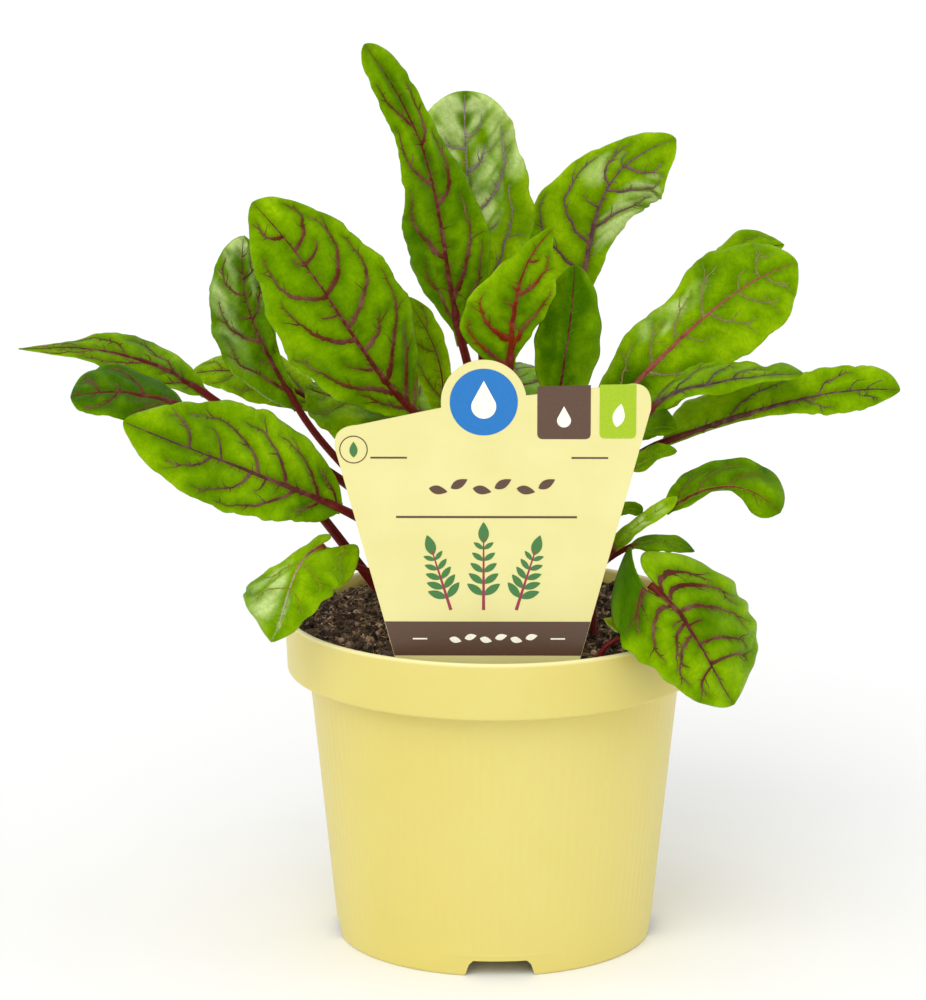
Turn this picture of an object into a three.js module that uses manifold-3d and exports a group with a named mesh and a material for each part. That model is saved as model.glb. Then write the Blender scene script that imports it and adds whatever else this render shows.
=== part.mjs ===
// Red-veined sorrel in a 12 cm nursery pot, with a stick-in plant label. Millimetres, +Z up.
// Everything is built round the pot's axis, and the group is then moved sideways so that the middle of
// the whole plant's bounding box lies over the origin, with the pot's foot at z = 0.
import * as THREE from "three";
import { mergeVertices } from "three/addons/utils/BufferGeometryUtils.js";
import Module from "manifold-3d";

const wasm = await Module();
wasm.setup();

// ---------------------------------------------------------------- driving dimensions

const GAP = 0.3; // clearance between pieces that touch
const FACET = 0.2; // allowance for the flat facets of round walls
const POT_SIDES = 60;

const POT = {
  height: 95,
  rim: 60, // outer radius at the top of the collar
  collarFoot: 59.3, // outer radius at the bottom of the collar
  collarHeight: 16.5,
  bodyTop: 53.2, // outer radius of the body right under the collar
  foot: 45.2, // outer radius at the bottom
  wall: 1.3,
  footRing: 2.2, // width of the ring it stands on
  floorLift: 6, // how far the floor is raised above the ring's foot
  floor: 1.5,
  edge: 0.6, // rounding of the lip and of the collar's lower edge
};
const NOTCH = { count: 4, width: 20.5, topWidth: 17.5, height: 4.7, reach: 12, turn: 2.2 };
const DRAIN = { count: 6, radius: 4, ring: 29, sides: 10 };

const SOIL = {
  edge: 90.5, // height of the surface at the wall
  middle: 93,
  lump: 0.8,
  rings: 7,
  sides: 40,
  holeDepth: 8,
  clear: 1.8, // height over the soil up to which a stalk stands upright
  above: 4, // how far the cutters of the holes stand out of the soil
};

const LABEL = {
  y: -46.5, // where the card stands, in front of the crown
  thick: 0.7,
  middle: -1.8, // middle line of its foot, in x
  low: 88, // where the card narrows to its foot, just under the soil's surface
  lowHalf: 24.2,
  footHalf: 13,
  footShoulder: 80,
  footTip: 58,
  footTipHalf: 4,
  rightTop: [[42.6, 163.5], [43.2, 170.8], [37.5, 170.6]], // rounded corner: start, corner, end, in x and z
  leftTop: [[-37.5, 159], [-44.6, 158.6], [-43.7, 152.5]],
  headRight: [9.5, 167.4], // where the upper edge meets the round head
  head: [-3, 165.5], // middle of the round head
  headRadius: 11.7,
  headArc: [9, 188],
};

const BLADE = { thick: 0.7, least: 0.8, rowLength: 6, rows: [8, 13], ribEnd: 0.88, scallop: 0.03 };
const STEM_SIDES = 6;
const STEM_ROW = 13; // length of stalk for each ring of the tube

// ---------------------------------------------------------------- leaves
// foot    where the stalk stands in the soil (x, y)
// rib     four points of the midrib, from the blade's base to its tip, a third of the way apart
// left    half widths at WIDTH_AT along the rib, seen from the upper side with the tip away; right alike
// ends    taper of base and tip, 0 for a square end, 0.5 for a round one, 1 for a pointed one
// face    where the upper side looks at mid length; twist: turn from base to tip, in degrees
// fold    how far the two halves are raised, in degrees; curl: how much more their margins are
// wave    height, number and phase of the margin's waves
// lobes   how far the base of each half reaches back past the stalk, and how far it is pushed to the right
// stem    radius of the stalk at the blade; tuck: how steeply the stalk comes in behind the blade, in degrees
// lean    sideways lean of the stalk where it leaves the soil, for each millimetre of rise
const WIDTH_AT = [0.1, 0.35, 0.65, 0.9];
const PLAIN = {
  ends: [0.6, 0.6], twist: 0, fold: 6, curl: -14, wave: [1, 2, 0], lobes: [[0, 0], [0, 0]],
  stem: 1.2, tuck: 0, lean: [0, 0],
};

const LEAVES = [
  {
    foot: [-4, -10], rib: [[-9, -15, 175], [-14, -17, 203], [-20, -19, 231], [-36, -22, 260]],
    left: [3.6, 10.5, 7.2, 5.2], right: [6, 13, 7, 5.3], face: [0.2, -1, 0.1], twist: 30, wave: [1.6, 2, 0.3],
  },
  {
    foot: [-1, 3], rib: [[-4, 4, 176], [-6, 6, 200], [-8, 6, 223], [-8.5, 2, 244]],
    left: [6.5, 12, 13, 9.5], right: [8.5, 18, 16.3, 11], face: [0.1, -0.95, 0.3], twist: -10,
  },
  {
    foot: [8, 10], rib: [[21.5, 16, 178], [27, 18, 198], [33, 17, 216], [51, 12, 229]],
    left: [9, 18.5, 12, 5], right: [3, 6.5, 12.5, 11], face: [0.1, -0.9, 0.4],
  },
  {
    foot: [2, -20], rib: [[4, -28, 171], [5, -29, 185], [8, -31, 199], [16, -33, 211]],
    left: [10, 14, 6.5, 2.2], right: [2.2, 8, 9.8, 4], face: [0, -0.9, 0.4], wave: [0.8, 2, 0.2],
  },
  {
    foot: [9, -18], rib: [[17, -24, 156], [19, -25, 171], [21, -25, 186], [22, -22, 199]],
    left: [3.5, 8.2, 8.2, 4.3], right: [4.5, 9.2, 8.6, 4.8], face: [0.1, -1, 0.1],
    stem: 0.8, wave: [0.5, 2, 0],
  },
  {
    foot: [15, 3], rib: [[30, 2, 150], [48, 7, 168], [67, 12, 184], [86, 16, 193]],
    left: [7.5, 13, 14.8, 9], right: [8, 14.5, 16, 11.5], face: [0, -0.85, 0.5],
  },
  {
    foot: [17, 12], rib: [[54, 24, 178], [63, 25, 187], [73, 26, 194], [83, 28, 196]],
    left: [1.5, 4.5, 7.5, 3.2], right: [3, 6.5, 7, 3], face: [0, -0.85, 0.5],
  },
  {
    foot: [21, -4], rib: [[48, -4, 145], [72, -6, 154], [94, -8, 160], [114, -6, 160.5]],
    left: [10.5, 10.2, 7.6, 6], right: [1.5, 1.8, 5.8, 4], face: [0, -0.87, 0.5], twist: 40,
  },
  {
    foot: [16, -11], rib: [[44, -14, 157], [54, -14, 162.5], [70, -15, 166], [86, -14, 167]],
    left: [6, 14, 14, 7.5], right: [2.5, 3.4, 3, 2.2], face: [0, -0.45, 0.9], curl: -25, wave: [1.4, 2, 0.5],
  },
  {
    foot: [20, -18.6], rib: [[47.5, -26, 130.5], [56, -28, 135.6], [67, -30, 138], [79, -32, 131]],
    left: [4.5, 8.4, 10.2, 8.8], right: [1.8, 1.6, 1.6, 5], face: [0.1, -0.85, 0.5], fold: -6,
  },
  {
    foot: [42, -25], rib: [[43, -47, 114], [52, -53, 106], [59, -55, 94.5], [66, -53, 82]],
    left: [17.5, 21.5, 21, 14.5], right: [16.5, 17, 12.5, 6.5], ends: [0, 0.6],
    face: [0.3, -0.87, 0.4], lobes: [[9, 0], [13.5, -14]], curl: -22, tuck: 82,
  },
  {
    foot: [22, -24], rib: [[38, -30, 121], [44, -31, 123], [50, -32, 123], [55.5, -32, 120]],
    left: [2.4, 2.6, 2.5, 1.5], right: [2, 4, 4, 2], face: [0.2, -0.5, 0.85], stem: 0.8, wave: [0.3, 2, 0],
  },
  {
    foot: [-18, -24], rib: [[-42.5, -36, 133], [-61, -44, 143], [-80, -50, 152], [-101, -52, 161]],
    left: [6.5, 11.4, 12.2, 6.5], right: [10, 17.5, 16, 7.5], face: [-0.1, -0.85, 0.45],
  },
  {
    foot: [-13, -30], rib: [[-47, -41, 123.5], [-54, -46, 119], [-57.5, -50, 110], [-61.5, -49, 98.5]],
    left: [12.5, 12, 9, 3.6], right: [3.2, 6.8, 14, 13], ends: [0, 0.4],
    face: [-0.2, -0.87, 0.45], lobes: [[9.5, 4], [3, 0]], curl: -25, tuck: 80, stem: 0.9,
  },
  {
    foot: [-17, -8], rib: [[-55, -12, 156], [-65, -14, 175], [-70, -14, 190], [-70, -10, 205]],
    left: [6.5, 12.4, 10.6, 6.3], right: [2, 4.5, 8, 5], face: [-0.2, -0.9, 0.3], stem: 1,
  },
  {
    foot: [-8, -15], rib: [[-22, -22, 157], [-36, -26, 175], [-49, -26, 195], [-67, -20, 216]],
    left: [7, 16.5, 17, 9], right: [8, 17.8, 18, 10.5], face: [0, -0.92, 0.35], wave: [1.4, 2, 0.1],
  },
  {
    foot: [-6, -3], rib: [[-15, -6, 152], [-15, -6, 165], [-18.5, -6, 176], [-25, -6, 187]],
    left: [4, 7, 7, 4], right: [3, 2.8, 4, 3], face: [0, -0.92, 0.35], stem: 0.9,
  },
  {
    foot: [-20, 2], rib: [[-82, 0, 158], [-97, -2, 167], [-114, -4, 171.5], [-134, -6, 172]],
    left: [4, 6.7, 5, 1.6], right: [5, 9.3, 6, 1.2], face: [0, -0.6, 0.8],
  },
  {
    foot: [-26, -5], rib: [[-87, -18, 158], [-99, -20, 162], [-109, -22, 163], [-118, -22, 161.5]],
    left: [4.5, 8.5, 8.5, 5.5], right: [5.5, 10.5, 10.5, 8], face: [0, -0.6, 0.8], lean: [-0.85, 0],
  },
  {
    foot: [-15, 9], rib: [[-47, 14, 150], [-62, 16, 158], [-75, 18, 161], [-87, 18, 160]],
    left: [4, 8, 7.5, 4], right: [4, 9, 8, 3.6], face: [0, -0.7, 0.7],
  },
  {
    foot: [-11, 1], rib: [[-26, 2, 152], [-36, 4, 153.5], [-46, 6, 156], [-54, 6, 158.5]],
    left: [6, 12, 12, 7], right: [4, 7, 6, 3.5], face: [0, -0.6, 0.8],
  },
  {
    foot: [26, -2], rib: [[40, -8, 147], [43.5, -8, 149.5], [47.5, -9, 150.5], [51, -9, 150]],
    left: [3, 6.5, 6, 3], right: [2, 2.6, 2.5, 1.5], face: [0, -0.8, 0.6], stem: 0.8, wave: [0.3, 2, 0],
  },
  {
    foot: [28, -17], rib: [[38, -18, 140.5], [42.5, -18, 143], [46.5, -18, 145], [51, -18, 145.5]],
    left: [2, 3.6, 3.2, 1.6], right: [2, 2.2, 1.5, 1.3], face: [0, -0.8, 0.6], stem: 0.8, wave: [0.3, 2, 0],
  },
  {
    foot: [19, -25], rib: [[32.5, -20, 128.5], [36, -20, 129.5], [39, -20, 129.5], [41.5, -20, 128.5]],
    left: [1.9, 2.2, 2.2, 1.6], right: [1.9, 1.9, 1.9, 1.6], face: [0, -0.8, 0.6],
    stem: 0.8, wave: [0.2, 2, 0],
  },
  {
    foot: [-8, 12], rib: [[-19, 28, 142], [-29, 50, 154], [-36, 72, 157], [-40, 92, 151]],
    left: [7, 13.5, 12.5, 6], right: [7, 13.5, 12.5, 6], face: [-0.1, 0.3, 0.95],
  },
  {
    foot: [1, 14], rib: [[4, 26, 138], [6, 48, 149], [6, 72, 152], [4, 95, 146]],
    left: [6.5, 12.5, 12, 5.5], right: [7, 14.5, 13.5, 6], face: [0.1, 0.2, 1],
  },
  {
    foot: [10, 18], rib: [[28, 30, 142], [42, 46, 150], [56, 62, 152], [70, 78, 147]],
    left: [7, 13, 11, 5], right: [6.5, 12, 10.5, 5], face: [0.2, 0.1, 1],
  },
  {
    foot: [20, -30], rib: [[33, -33, 121], [38, -35, 127], [44, -35, 131.5], [50.5, -34, 136]],
    left: [2, 2, 2.2, 1.7], right: [2, 2, 2.2, 1.7], face: [0.2, -0.8, 0.5], stem: 0.8, wave: [0.2, 2, 0],
  },
].map((leaf) => ({ ...PLAIN, ...leaf }));

// ---------------------------------------------------------------- helpers

const UP = new THREE.Vector3(0, 0, 1);
const vec = (p) => new THREE.Vector3(...p);
const clamp = THREE.MathUtils.clamp;
const radians = THREE.MathUtils.degToRad;

function geometryOf(vertices, triangles) {
  const geometry = new THREE.BufferGeometry();
  geometry.setAttribute("position", new THREE.Float32BufferAttribute(vertices, 3));
  geometry.setIndex(triangles);
  return geometry;
}

function solidOf(geometry) {
  const bare = geometry.clone();
  bare.deleteAttribute("normal");
  bare.deleteAttribute("uv");
  const merged = mergeVertices(bare, 1e-3);
  const mesh = { numProp: 3, vertProperties: merged.attributes.position.array };
  return new wasm.Manifold(new wasm.Mesh({ ...mesh, triVerts: new Uint32Array(merged.index.array) }));
}

function geometryFrom(solid) {
  const mesh = solid.getMesh();
  return geometryOf(mesh.vertProperties, Array.from(mesh.triVerts));
}

function cutAway(geometry, cutters) {
  const left = cutters.reduce((solid, cutter) => solid.subtract(solidOf(cutter)), solidOf(geometry));
  return geometryFrom(left);
}

// A cylinder that stands along Z.
function post(radius, low, high, sides, x, y) {
  return new THREE.CylinderGeometry(radius, radius, high - low, sides)
    .rotateX(Math.PI / 2)
    .translate(x, y, (low + high) / 2);
}

// The solid between an outer and an inner sheet of vertices that share one list of triangles.
// Each edge that only one triangle uses gets a wall.
function closedSheet(upper, lower, triangles) {
  const count = upper.length;
  const edges = new Map();
  const faces = [];
  for (const [a, b, c] of triangles) {
    faces.push(a, b, c, count + a, count + c, count + b);
    for (const [from, to] of [[a, b], [b, c], [c, a]]) {
      if (!edges.delete(`${to},${from}`)) edges.set(`${from},${to}`, [from, to]);
    }
  }
  for (const [from, to] of edges.values()) {
    faces.push(from, count + from, to, to, count + from, count + to);
  }
  const vertices = [...upper, ...lower].flatMap((v) => [v.x, v.y, v.z]);
  return geometryOf(vertices, faces);
}

// ---------------------------------------------------------------- pot

// Inner radius of the pot's body at a height, under the collar.
function innerWall(z) {
  const slope = (POT.bodyTop - POT.foot) / (POT.height - POT.collarHeight);
  return POT.foot + slope * z - POT.wall;
}

function potGeometry() {
  const { height, wall, edge } = POT;
  const collarLow = height - POT.collarHeight;
  const floorTop = POT.floorLift + POT.floor;
  const outline = [
    [0, POT.floorLift],
    [POT.foot - POT.footRing, POT.floorLift],
    [POT.foot - POT.footRing, 0],
    [POT.foot, 0],
    [POT.bodyTop, collarLow],
    [POT.collarFoot - edge, collarLow],
    [POT.collarFoot, collarLow + edge],
    [POT.rim, height - edge],
    [POT.rim - edge / 3, height],
    [POT.rim - wall, height],
    [POT.rim - wall - 0.1, height - edge],
    [POT.collarFoot - wall, collarLow + wall],
    [innerWall(collarLow), collarLow + wall],
    [innerWall(floorTop), floorTop],
    [0, floorTop],
  ];
  const points = outline.map(([radius, z]) => new THREE.Vector2(radius, z));
  const shell = new THREE.LatheGeometry(points, POT_SIDES).rotateX(Math.PI / 2);
  return cutAway(shell, [...notchCutters(), ...drainCutters()]);
}

// Openings in the foot ring, which let water and light pass under the pot.
function notchCutters() {
  const shape = new THREE.Shape([
    new THREE.Vector2(-NOTCH.width / 2, -1),
    new THREE.Vector2(NOTCH.width / 2, -1),
    new THREE.Vector2(NOTCH.topWidth / 2, NOTCH.height),
    new THREE.Vector2(-NOTCH.topWidth / 2, NOTCH.height),
  ]);
  return Array.from({ length: NOTCH.count }, (_, i) =>
    new THREE.ExtrudeGeometry(shape, { depth: NOTCH.reach, bevelEnabled: false })
      .translate(0, 0, POT.foot - 0.75 * NOTCH.reach)
      .rotateX(Math.PI / 2)
      .rotateZ((i * 2 * Math.PI) / NOTCH.count + radians(NOTCH.turn)),
  );
}

function drainCutters() {
  const low = POT.floorLift - 1;
  const high = POT.floorLift + POT.floor + 1;
  const holes = [post(DRAIN.radius, low, high, DRAIN.sides, 0, 0)];
  for (let i = 0; i < DRAIN.count; i++) {
    const angle = ((i + 0.5) * 2 * Math.PI) / DRAIN.count;
    const [x, y] = [DRAIN.ring * Math.cos(angle), DRAIN.ring * Math.sin(angle)];
    holes.push(post(DRAIN.radius, low, high, DRAIN.sides, x, y));
  }
  return holes;
}

// ---------------------------------------------------------------- soil

// Height of the lumpy soil surface, a shallow mound.
function soilTop(x, y) {
  const rise = 1 - (x * x + y * y) / POT.collarFoot ** 2;
  const lumps = Math.sin(x / 4.1 + y / 9) + Math.sin(y / 4.7 - x / 7 + 1) + Math.sin((x + y) / 3.3 + 2);
  return SOIL.edge + (SOIL.middle - SOIL.edge) * rise + SOIL.lump * lumps * 0.5;
}

// The soil fills the pot up to its surface. Rings of the surface run out from the middle, then down
// the collar, in over its ledge, down the wall, and over the floor.
function soilGeometry() {
  const ledge = POT.height - POT.collarHeight + POT.wall;
  const floorTop = POT.floorLift + POT.floor + GAP;
  const full = POT.collarFoot - POT.wall - GAP - FACET;
  const rings = [];
  for (let i = 1; i <= SOIL.rings; i++) rings.push({ radius: (full * i) / SOIL.rings });
  rings.push({ radius: full, z: ledge + GAP });
  rings.push({ radius: innerWall(ledge) - GAP - FACET, z: ledge + GAP });
  rings.push({ radius: innerWall(floorTop) - GAP - FACET, z: floorTop });
  const vertices = [new THREE.Vector3(0, 0, soilTop(0, 0))];
  for (const { radius, z } of rings) {
    for (let j = 0; j < SOIL.sides; j++) {
      const angle = (j * 2 * Math.PI) / SOIL.sides;
      const [x, y] = [radius * Math.cos(angle), radius * Math.sin(angle)];
      vertices.push(new THREE.Vector3(x, y, z ?? soilTop(x, y)));
    }
  }
  const last = vertices.push(new THREE.Vector3(0, 0, floorTop)) - 1;
  const at = (ring, side) => 1 + ring * SOIL.sides + (side % SOIL.sides);
  const faces = [];
  for (let j = 0; j < SOIL.sides; j++) {
    faces.push(0, at(0, j), at(0, j + 1), last, at(rings.length - 1, j + 1), at(rings.length - 1, j));
    for (let i = 0; i + 1 < rings.length; i++) {
      faces.push(at(i, j), at(i + 1, j), at(i + 1, j + 1), at(i, j), at(i + 1, j + 1), at(i, j + 1));
    }
  }
  return geometryOf(vertices.flatMap((v) => [v.x, v.y, v.z]), faces);
}

// Plain holes that the stalks and the label stand in.
function soilHoles() {
  const holes = LEAVES.map(({ foot: [x, y], stem }) => {
    const top = soilTop(x, y);
    const radius = (stalkRadius(stem) + GAP) / Math.cos(Math.PI / STEM_SIDES);
    return post(radius, top - SOIL.holeDepth - GAP, top + SOIL.above, STEM_SIDES, x, y);
  });
  const { footHalf, footTip, lowHalf, low } = LABEL;
  return [...holes, labelSlot(footHalf, footTip), labelSlot(lowHalf + 1, low)];
}

// A slot for a stretch of the label, from its lowest point up past the soil's surface.
function labelSlot(half, low) {
  const height = SOIL.middle + SOIL.above - low;
  const slot = new THREE.BoxGeometry(2 * (half + GAP), LABEL.thick + 2 * GAP, height + GAP);
  return slot.translate(LABEL.middle, LABEL.y, low + (height - GAP) / 2);
}

// ---------------------------------------------------------------- label

// A flat card with a round head on its upper edge and a foot that tapers into the soil.
function labelGeometry() {
  const { middle, footTipHalf, footHalf, lowHalf, rightTop, leftTop } = LABEL;
  const shape = new THREE.Shape();
  shape.moveTo(middle - footTipHalf, LABEL.footTip);
  shape.lineTo(middle + footTipHalf, LABEL.footTip);
  shape.lineTo(middle + footHalf, LABEL.footShoulder);
  shape.lineTo(middle + footHalf, LABEL.low);
  shape.lineTo(middle + lowHalf, LABEL.low);
  shape.lineTo(...rightTop[0]);
  shape.quadraticCurveTo(...rightTop[1], ...rightTop[2]);
  shape.lineTo(...LABEL.headRight);
  shape.absarc(...LABEL.head, LABEL.headRadius, ...LABEL.headArc.map(radians), false);
  shape.lineTo(...leftTop[0]);
  shape.quadraticCurveTo(...leftTop[1], ...leftTop[2]);
  shape.lineTo(middle - lowHalf, LABEL.low);
  shape.lineTo(middle - footHalf, LABEL.low);
  shape.lineTo(middle - footHalf, LABEL.footShoulder);
  const card = new THREE.ExtrudeGeometry(shape, {
    depth: LABEL.thick,
    bevelEnabled: false,
    curveSegments: 12,
  });
  return card.rotateX(Math.PI / 2).translate(0, LABEL.y + LABEL.thick / 2, 0);
}

// ---------------------------------------------------------------- leaf: shared form

// The Bezier curve through four points that lie a third of the way apart.
function curveThrough(points) {
  const [a, b, c, d] = points.map(vec);
  const mix = (wa, wb, wc, wd) =>
    new THREE.Vector3()
      .addScaledVector(a, wa / 6)
      .addScaledVector(b, wb / 6)
      .addScaledVector(c, wc / 6)
      .addScaledVector(d, wd / 6);
  return new THREE.CubicBezierCurve3(a, mix(-5, 18, -9, 2), mix(2, -9, 18, -5), d);
}

// Point of the midrib, with the directions along it, to the blade's right, and out of its upper side.
function ribFrame(leaf, t) {
  const point = leaf.curve.getPoint(t);
  const along = leaf.curve.getTangent(t);
  const out = vec(leaf.face);
  out.addScaledVector(along, -out.dot(along)).normalize();
  out.applyAxisAngle(along, radians(leaf.twist) * (t - 0.5));
  const right = new THREE.Vector3().crossVectors(along, out).normalize();
  return { point, along, right, out };
}

// The stalk thickens towards the soil, and the midrib thins out towards the tip.
const stalkRadius = (stem) => stem * 1.25;
const ribRadius = (leaf, t) => leaf.stem * (1 - 0.72 * Math.min(1, t / BLADE.ribEnd));

// Weight of the half width given at one place, for a smooth curve through all four of them.
function weightOf(at, t) {
  const others = WIDTH_AT.filter((other) => other !== at);
  return others.reduce((product, other) => (product * (t - other)) / (at - other), 1);
}

// The half width runs smoothly through the four given ones, and closes at both ends.
function halfWidth(leaf, t, side) {
  const given = side < 0 ? leaf.left : leaf.right;
  const closing = (u) => u ** leaf.ends[0] * (1 - u) ** leaf.ends[1];
  const full = WIDTH_AT.reduce((sum, at, i) => sum + (weightOf(at, t) * given[i]) / closing(at), 0);
  const scallops = 1 + BLADE.scallop * Math.sin(2 * Math.PI * (5 * t + leaf.wave[2]) + side);
  const least = ribRadius(leaf, t) + GAP + BLADE.least;
  return Math.max(full * closing(t) * scallops, least);
}

// Point of the blade's middle surface at a distance from the midrib, on one side (-1 left, 1 right).
function bladePoint(leaf, t, side, distance) {
  const { point, along, right, out } = ribFrame(leaf, t);
  const outer = halfWidth(leaf, t, side);
  const inner = ribRadius(leaf, t) + GAP;
  const share = distance / outer;
  const [height, count, phase] = leaf.wave;
  const bend = radians(leaf.fold + leaf.curl * share);
  const swing = Math.sin(Math.PI * t) * Math.sin(2 * Math.PI * (count * t + phase) + side);
  const [back, aside] = leaf.lobes[side < 0 ? 0 : 1];
  const across = clamp((distance - inner) / (outer - inner), 0, 1);
  const lobe = Math.sqrt(Math.sin(Math.PI * across)) * (1 - t) ** 6;
  return point
    .addScaledVector(right, side * distance * Math.cos(bend) + aside * lobe ** 2)
    .addScaledVector(out, distance * Math.sin(bend) + height * share ** 2 * swing)
    .addScaledVector(along, -back * lobe);
}

function bladeNormal(leaf, t, side, distance) {
  const step = 0.004;
  const [before, after] = [Math.max(0, t - step), Math.min(1, t + step)];
  const lengthwise = bladePoint(leaf, after, side, distance).sub(bladePoint(leaf, before, side, distance));
  const across = bladePoint(leaf, t, side, distance + 0.1).sub(bladePoint(leaf, t, side, distance - 0.1));
  return new THREE.Vector3().crossVectors(across, lengthwise).multiplyScalar(-side).normalize().negate();
}

// Places along the rib, closer together at the base and at the tip.
function rowPlaces(leaf) {
  const count = clamp(Math.round(leaf.curve.getLength() / BLADE.rowLength), ...BLADE.rows);
  const places = [];
  for (let i = 0; i <= count; i++) {
    const even = i / count;
    places.push(0.45 * even + 0.55 * (0.5 - 0.5 * Math.cos(Math.PI * even)));
  }
  return places;
}

// The first row past the midrib's end, where the two halves of the blade are joined.
const closingRow = (places) => places.findIndex((t) => t >= BLADE.ribEnd);

// ---------------------------------------------------------------- leaf: blade and stalk

// The blade is two halves with a slot for the midrib between them, joined past the midrib's end.
function bladeGeometry(leaf) {
  const places = rowPlaces(leaf);
  const closed = closingRow(places);
  const strips = Math.max(...leaf.left, ...leaf.right) > 8.5 ? 3 : 2;
  const upper = [];
  const lower = [];
  for (const t of places) {
    for (const side of [-1, 1]) {
      const inner = ribRadius(leaf, t) + GAP;
      const outer = halfWidth(leaf, t, side);
      for (let k = 0; k <= strips; k++) {
        const share = side < 0 ? 1 - k / strips : k / strips;
        const distance = inner + (outer - inner) * share;
        const point = bladePoint(leaf, t, side, distance);
        const normal = bladeNormal(leaf, t, side, distance);
        upper.push(point.clone().addScaledVector(normal, BLADE.thick / 2));
        lower.push(point.clone().addScaledVector(normal, -BLADE.thick / 2));
      }
    }
  }
  const columns = 2 * strips + 2;
  const triangles = [];
  for (let i = 0; i + 1 < places.length; i++) {
    for (let j = 0; j + 1 < columns; j++) {
      if (j === strips && i < closed) continue;
      const a = i * columns + j;
      triangles.push([a, a + 1, a + columns + 1], [a, a + columns + 1, a + columns]);
    }
  }
  return closedSheet(upper, lower, triangles);
}

// The stalk rises straight out of the soil and swings into the midrib's direction.
function stalkCurve(leaf) {
  const [x, y] = leaf.foot;
  const foot = new THREE.Vector3(x, y, soilTop(x, y) + SOIL.clear);
  const base = leaf.curve.getPoint(0);
  const reach = foot.distanceTo(base) * 0.36;
  const lower = foot.clone().add(vec([...leaf.lean, 1]).setLength(reach));
  const { along, right } = ribFrame(leaf, 0);
  const arrival = along.applyAxisAngle(right, radians(leaf.tuck));
  const upper = base.clone().addScaledVector(arrival, -reach);
  return new THREE.CubicBezierCurve3(foot, lower, upper, base);
}

// Two directions across a stalk that runs along a third one, the first as near as it can be to a wish.
function crossDirections(wish, along) {
  const x = wish.clone().addScaledVector(along, -wish.dot(along)).normalize();
  return { x, y: new THREE.Vector3().crossVectors(x, along) };
}

// Rings of the stalk and of the midrib, as { point, x, y, radius }.
function stalkRings(leaf) {
  const stalk = stalkCurve(leaf);
  const { right } = ribFrame(leaf, 0);
  const count = clamp(Math.round(stalk.getLength() / STEM_ROW), 3, 9);
  const buried = stalk.getPoint(0).setZ(stalk.v0.z - SOIL.holeDepth - SOIL.clear);
  const rings = [{ point: buried, ...crossDirections(right, UP), radius: stalkRadius(leaf.stem) }];
  for (let i = 0; i < count; i++) {
    const s = i / count;
    const radius = THREE.MathUtils.lerp(stalkRadius(leaf.stem), leaf.stem, s);
    rings.push({ point: stalk.getPoint(s), ...crossDirections(right, stalk.getTangent(s)), radius });
  }
  const places = rowPlaces(leaf);
  for (const t of places.slice(0, closingRow(places) + 1)) {
    const frame = ribFrame(leaf, t);
    rings.push({ point: frame.point, x: frame.right, y: frame.out, radius: ribRadius(leaf, t) });
  }
  const [last, before] = [rings.at(-1).point, rings.at(-2).point];
  last.addScaledVector(last.clone().sub(before).normalize(), -1.5 * GAP);
  return rings;
}

function stalkGeometry(leaf) {
  const rings = stalkRings(leaf);
  const vertices = [];
  for (const { point, x, y, radius } of rings) {
    for (let k = 0; k < STEM_SIDES; k++) {
      const angle = (k * 2 * Math.PI) / STEM_SIDES;
      const corner = point
        .clone()
        .addScaledVector(x, radius * Math.cos(angle))
        .addScaledVector(y, radius * Math.sin(angle));
      vertices.push(corner.x, corner.y, corner.z);
    }
  }
  const at = (ring, k) => ring * STEM_SIDES + (k % STEM_SIDES);
  const faces = [];
  const end = rings.length - 1;
  for (let k = 0; k < STEM_SIDES; k++) {
    for (let i = 0; i < end; i++) {
      faces.push(at(i, k), at(i + 1, k), at(i + 1, k + 1), at(i, k), at(i + 1, k + 1), at(i, k + 1));
    }
  }
  for (let k = 1; k + 1 < STEM_SIDES; k++) {
    faces.push(at(0, 0), at(0, k), at(0, k + 1), at(end, 0), at(end, k + 1), at(end, k));
  }
  return geometryOf(vertices, faces);
}

// ---------------------------------------------------------------- assembly

const matte = (color, roughness) => new THREE.MeshStandardMaterial({ color, roughness, metalness: 0 });
const MATERIALS = {
  pot: matte(0xf0e68a, 0.45),
  soil: matte(0x2e2119, 0.95),
  label: matte(0xf5efa8, 0.5),
  blade: matte(0x5f9a1e, 0.4),
  stalk: matte(0x6a1f25, 0.4),
};

const plant = new THREE.Group();

function add(name, geometry, material) {
  const mesh = new THREE.Mesh(geometry, MATERIALS[material]);
  mesh.name = name;
  plant.add(mesh);
}

for (const leaf of LEAVES) leaf.curve = curveThrough(leaf.rib);

add("pot", potGeometry(), "pot");
add("soil", cutAway(soilGeometry(), soilHoles()), "soil");
add("label", labelGeometry(), "label");
LEAVES.forEach((leaf, i) => {
  const number = String(i + 1).padStart(2, "0");
  add(`leaf_${number}_blade`, bladeGeometry(leaf), "blade");
  add(`leaf_${number}_stalk`, stalkGeometry(leaf), "stalk");
});

const middle = new THREE.Box3().setFromObject(plant).getCenter(new THREE.Vector3());
plant.position.set(-middle.x, -middle.y, 0);

const sorrel = new THREE.Group();
sorrel.add(plant);

export default sorrel;
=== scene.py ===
import math

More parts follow.
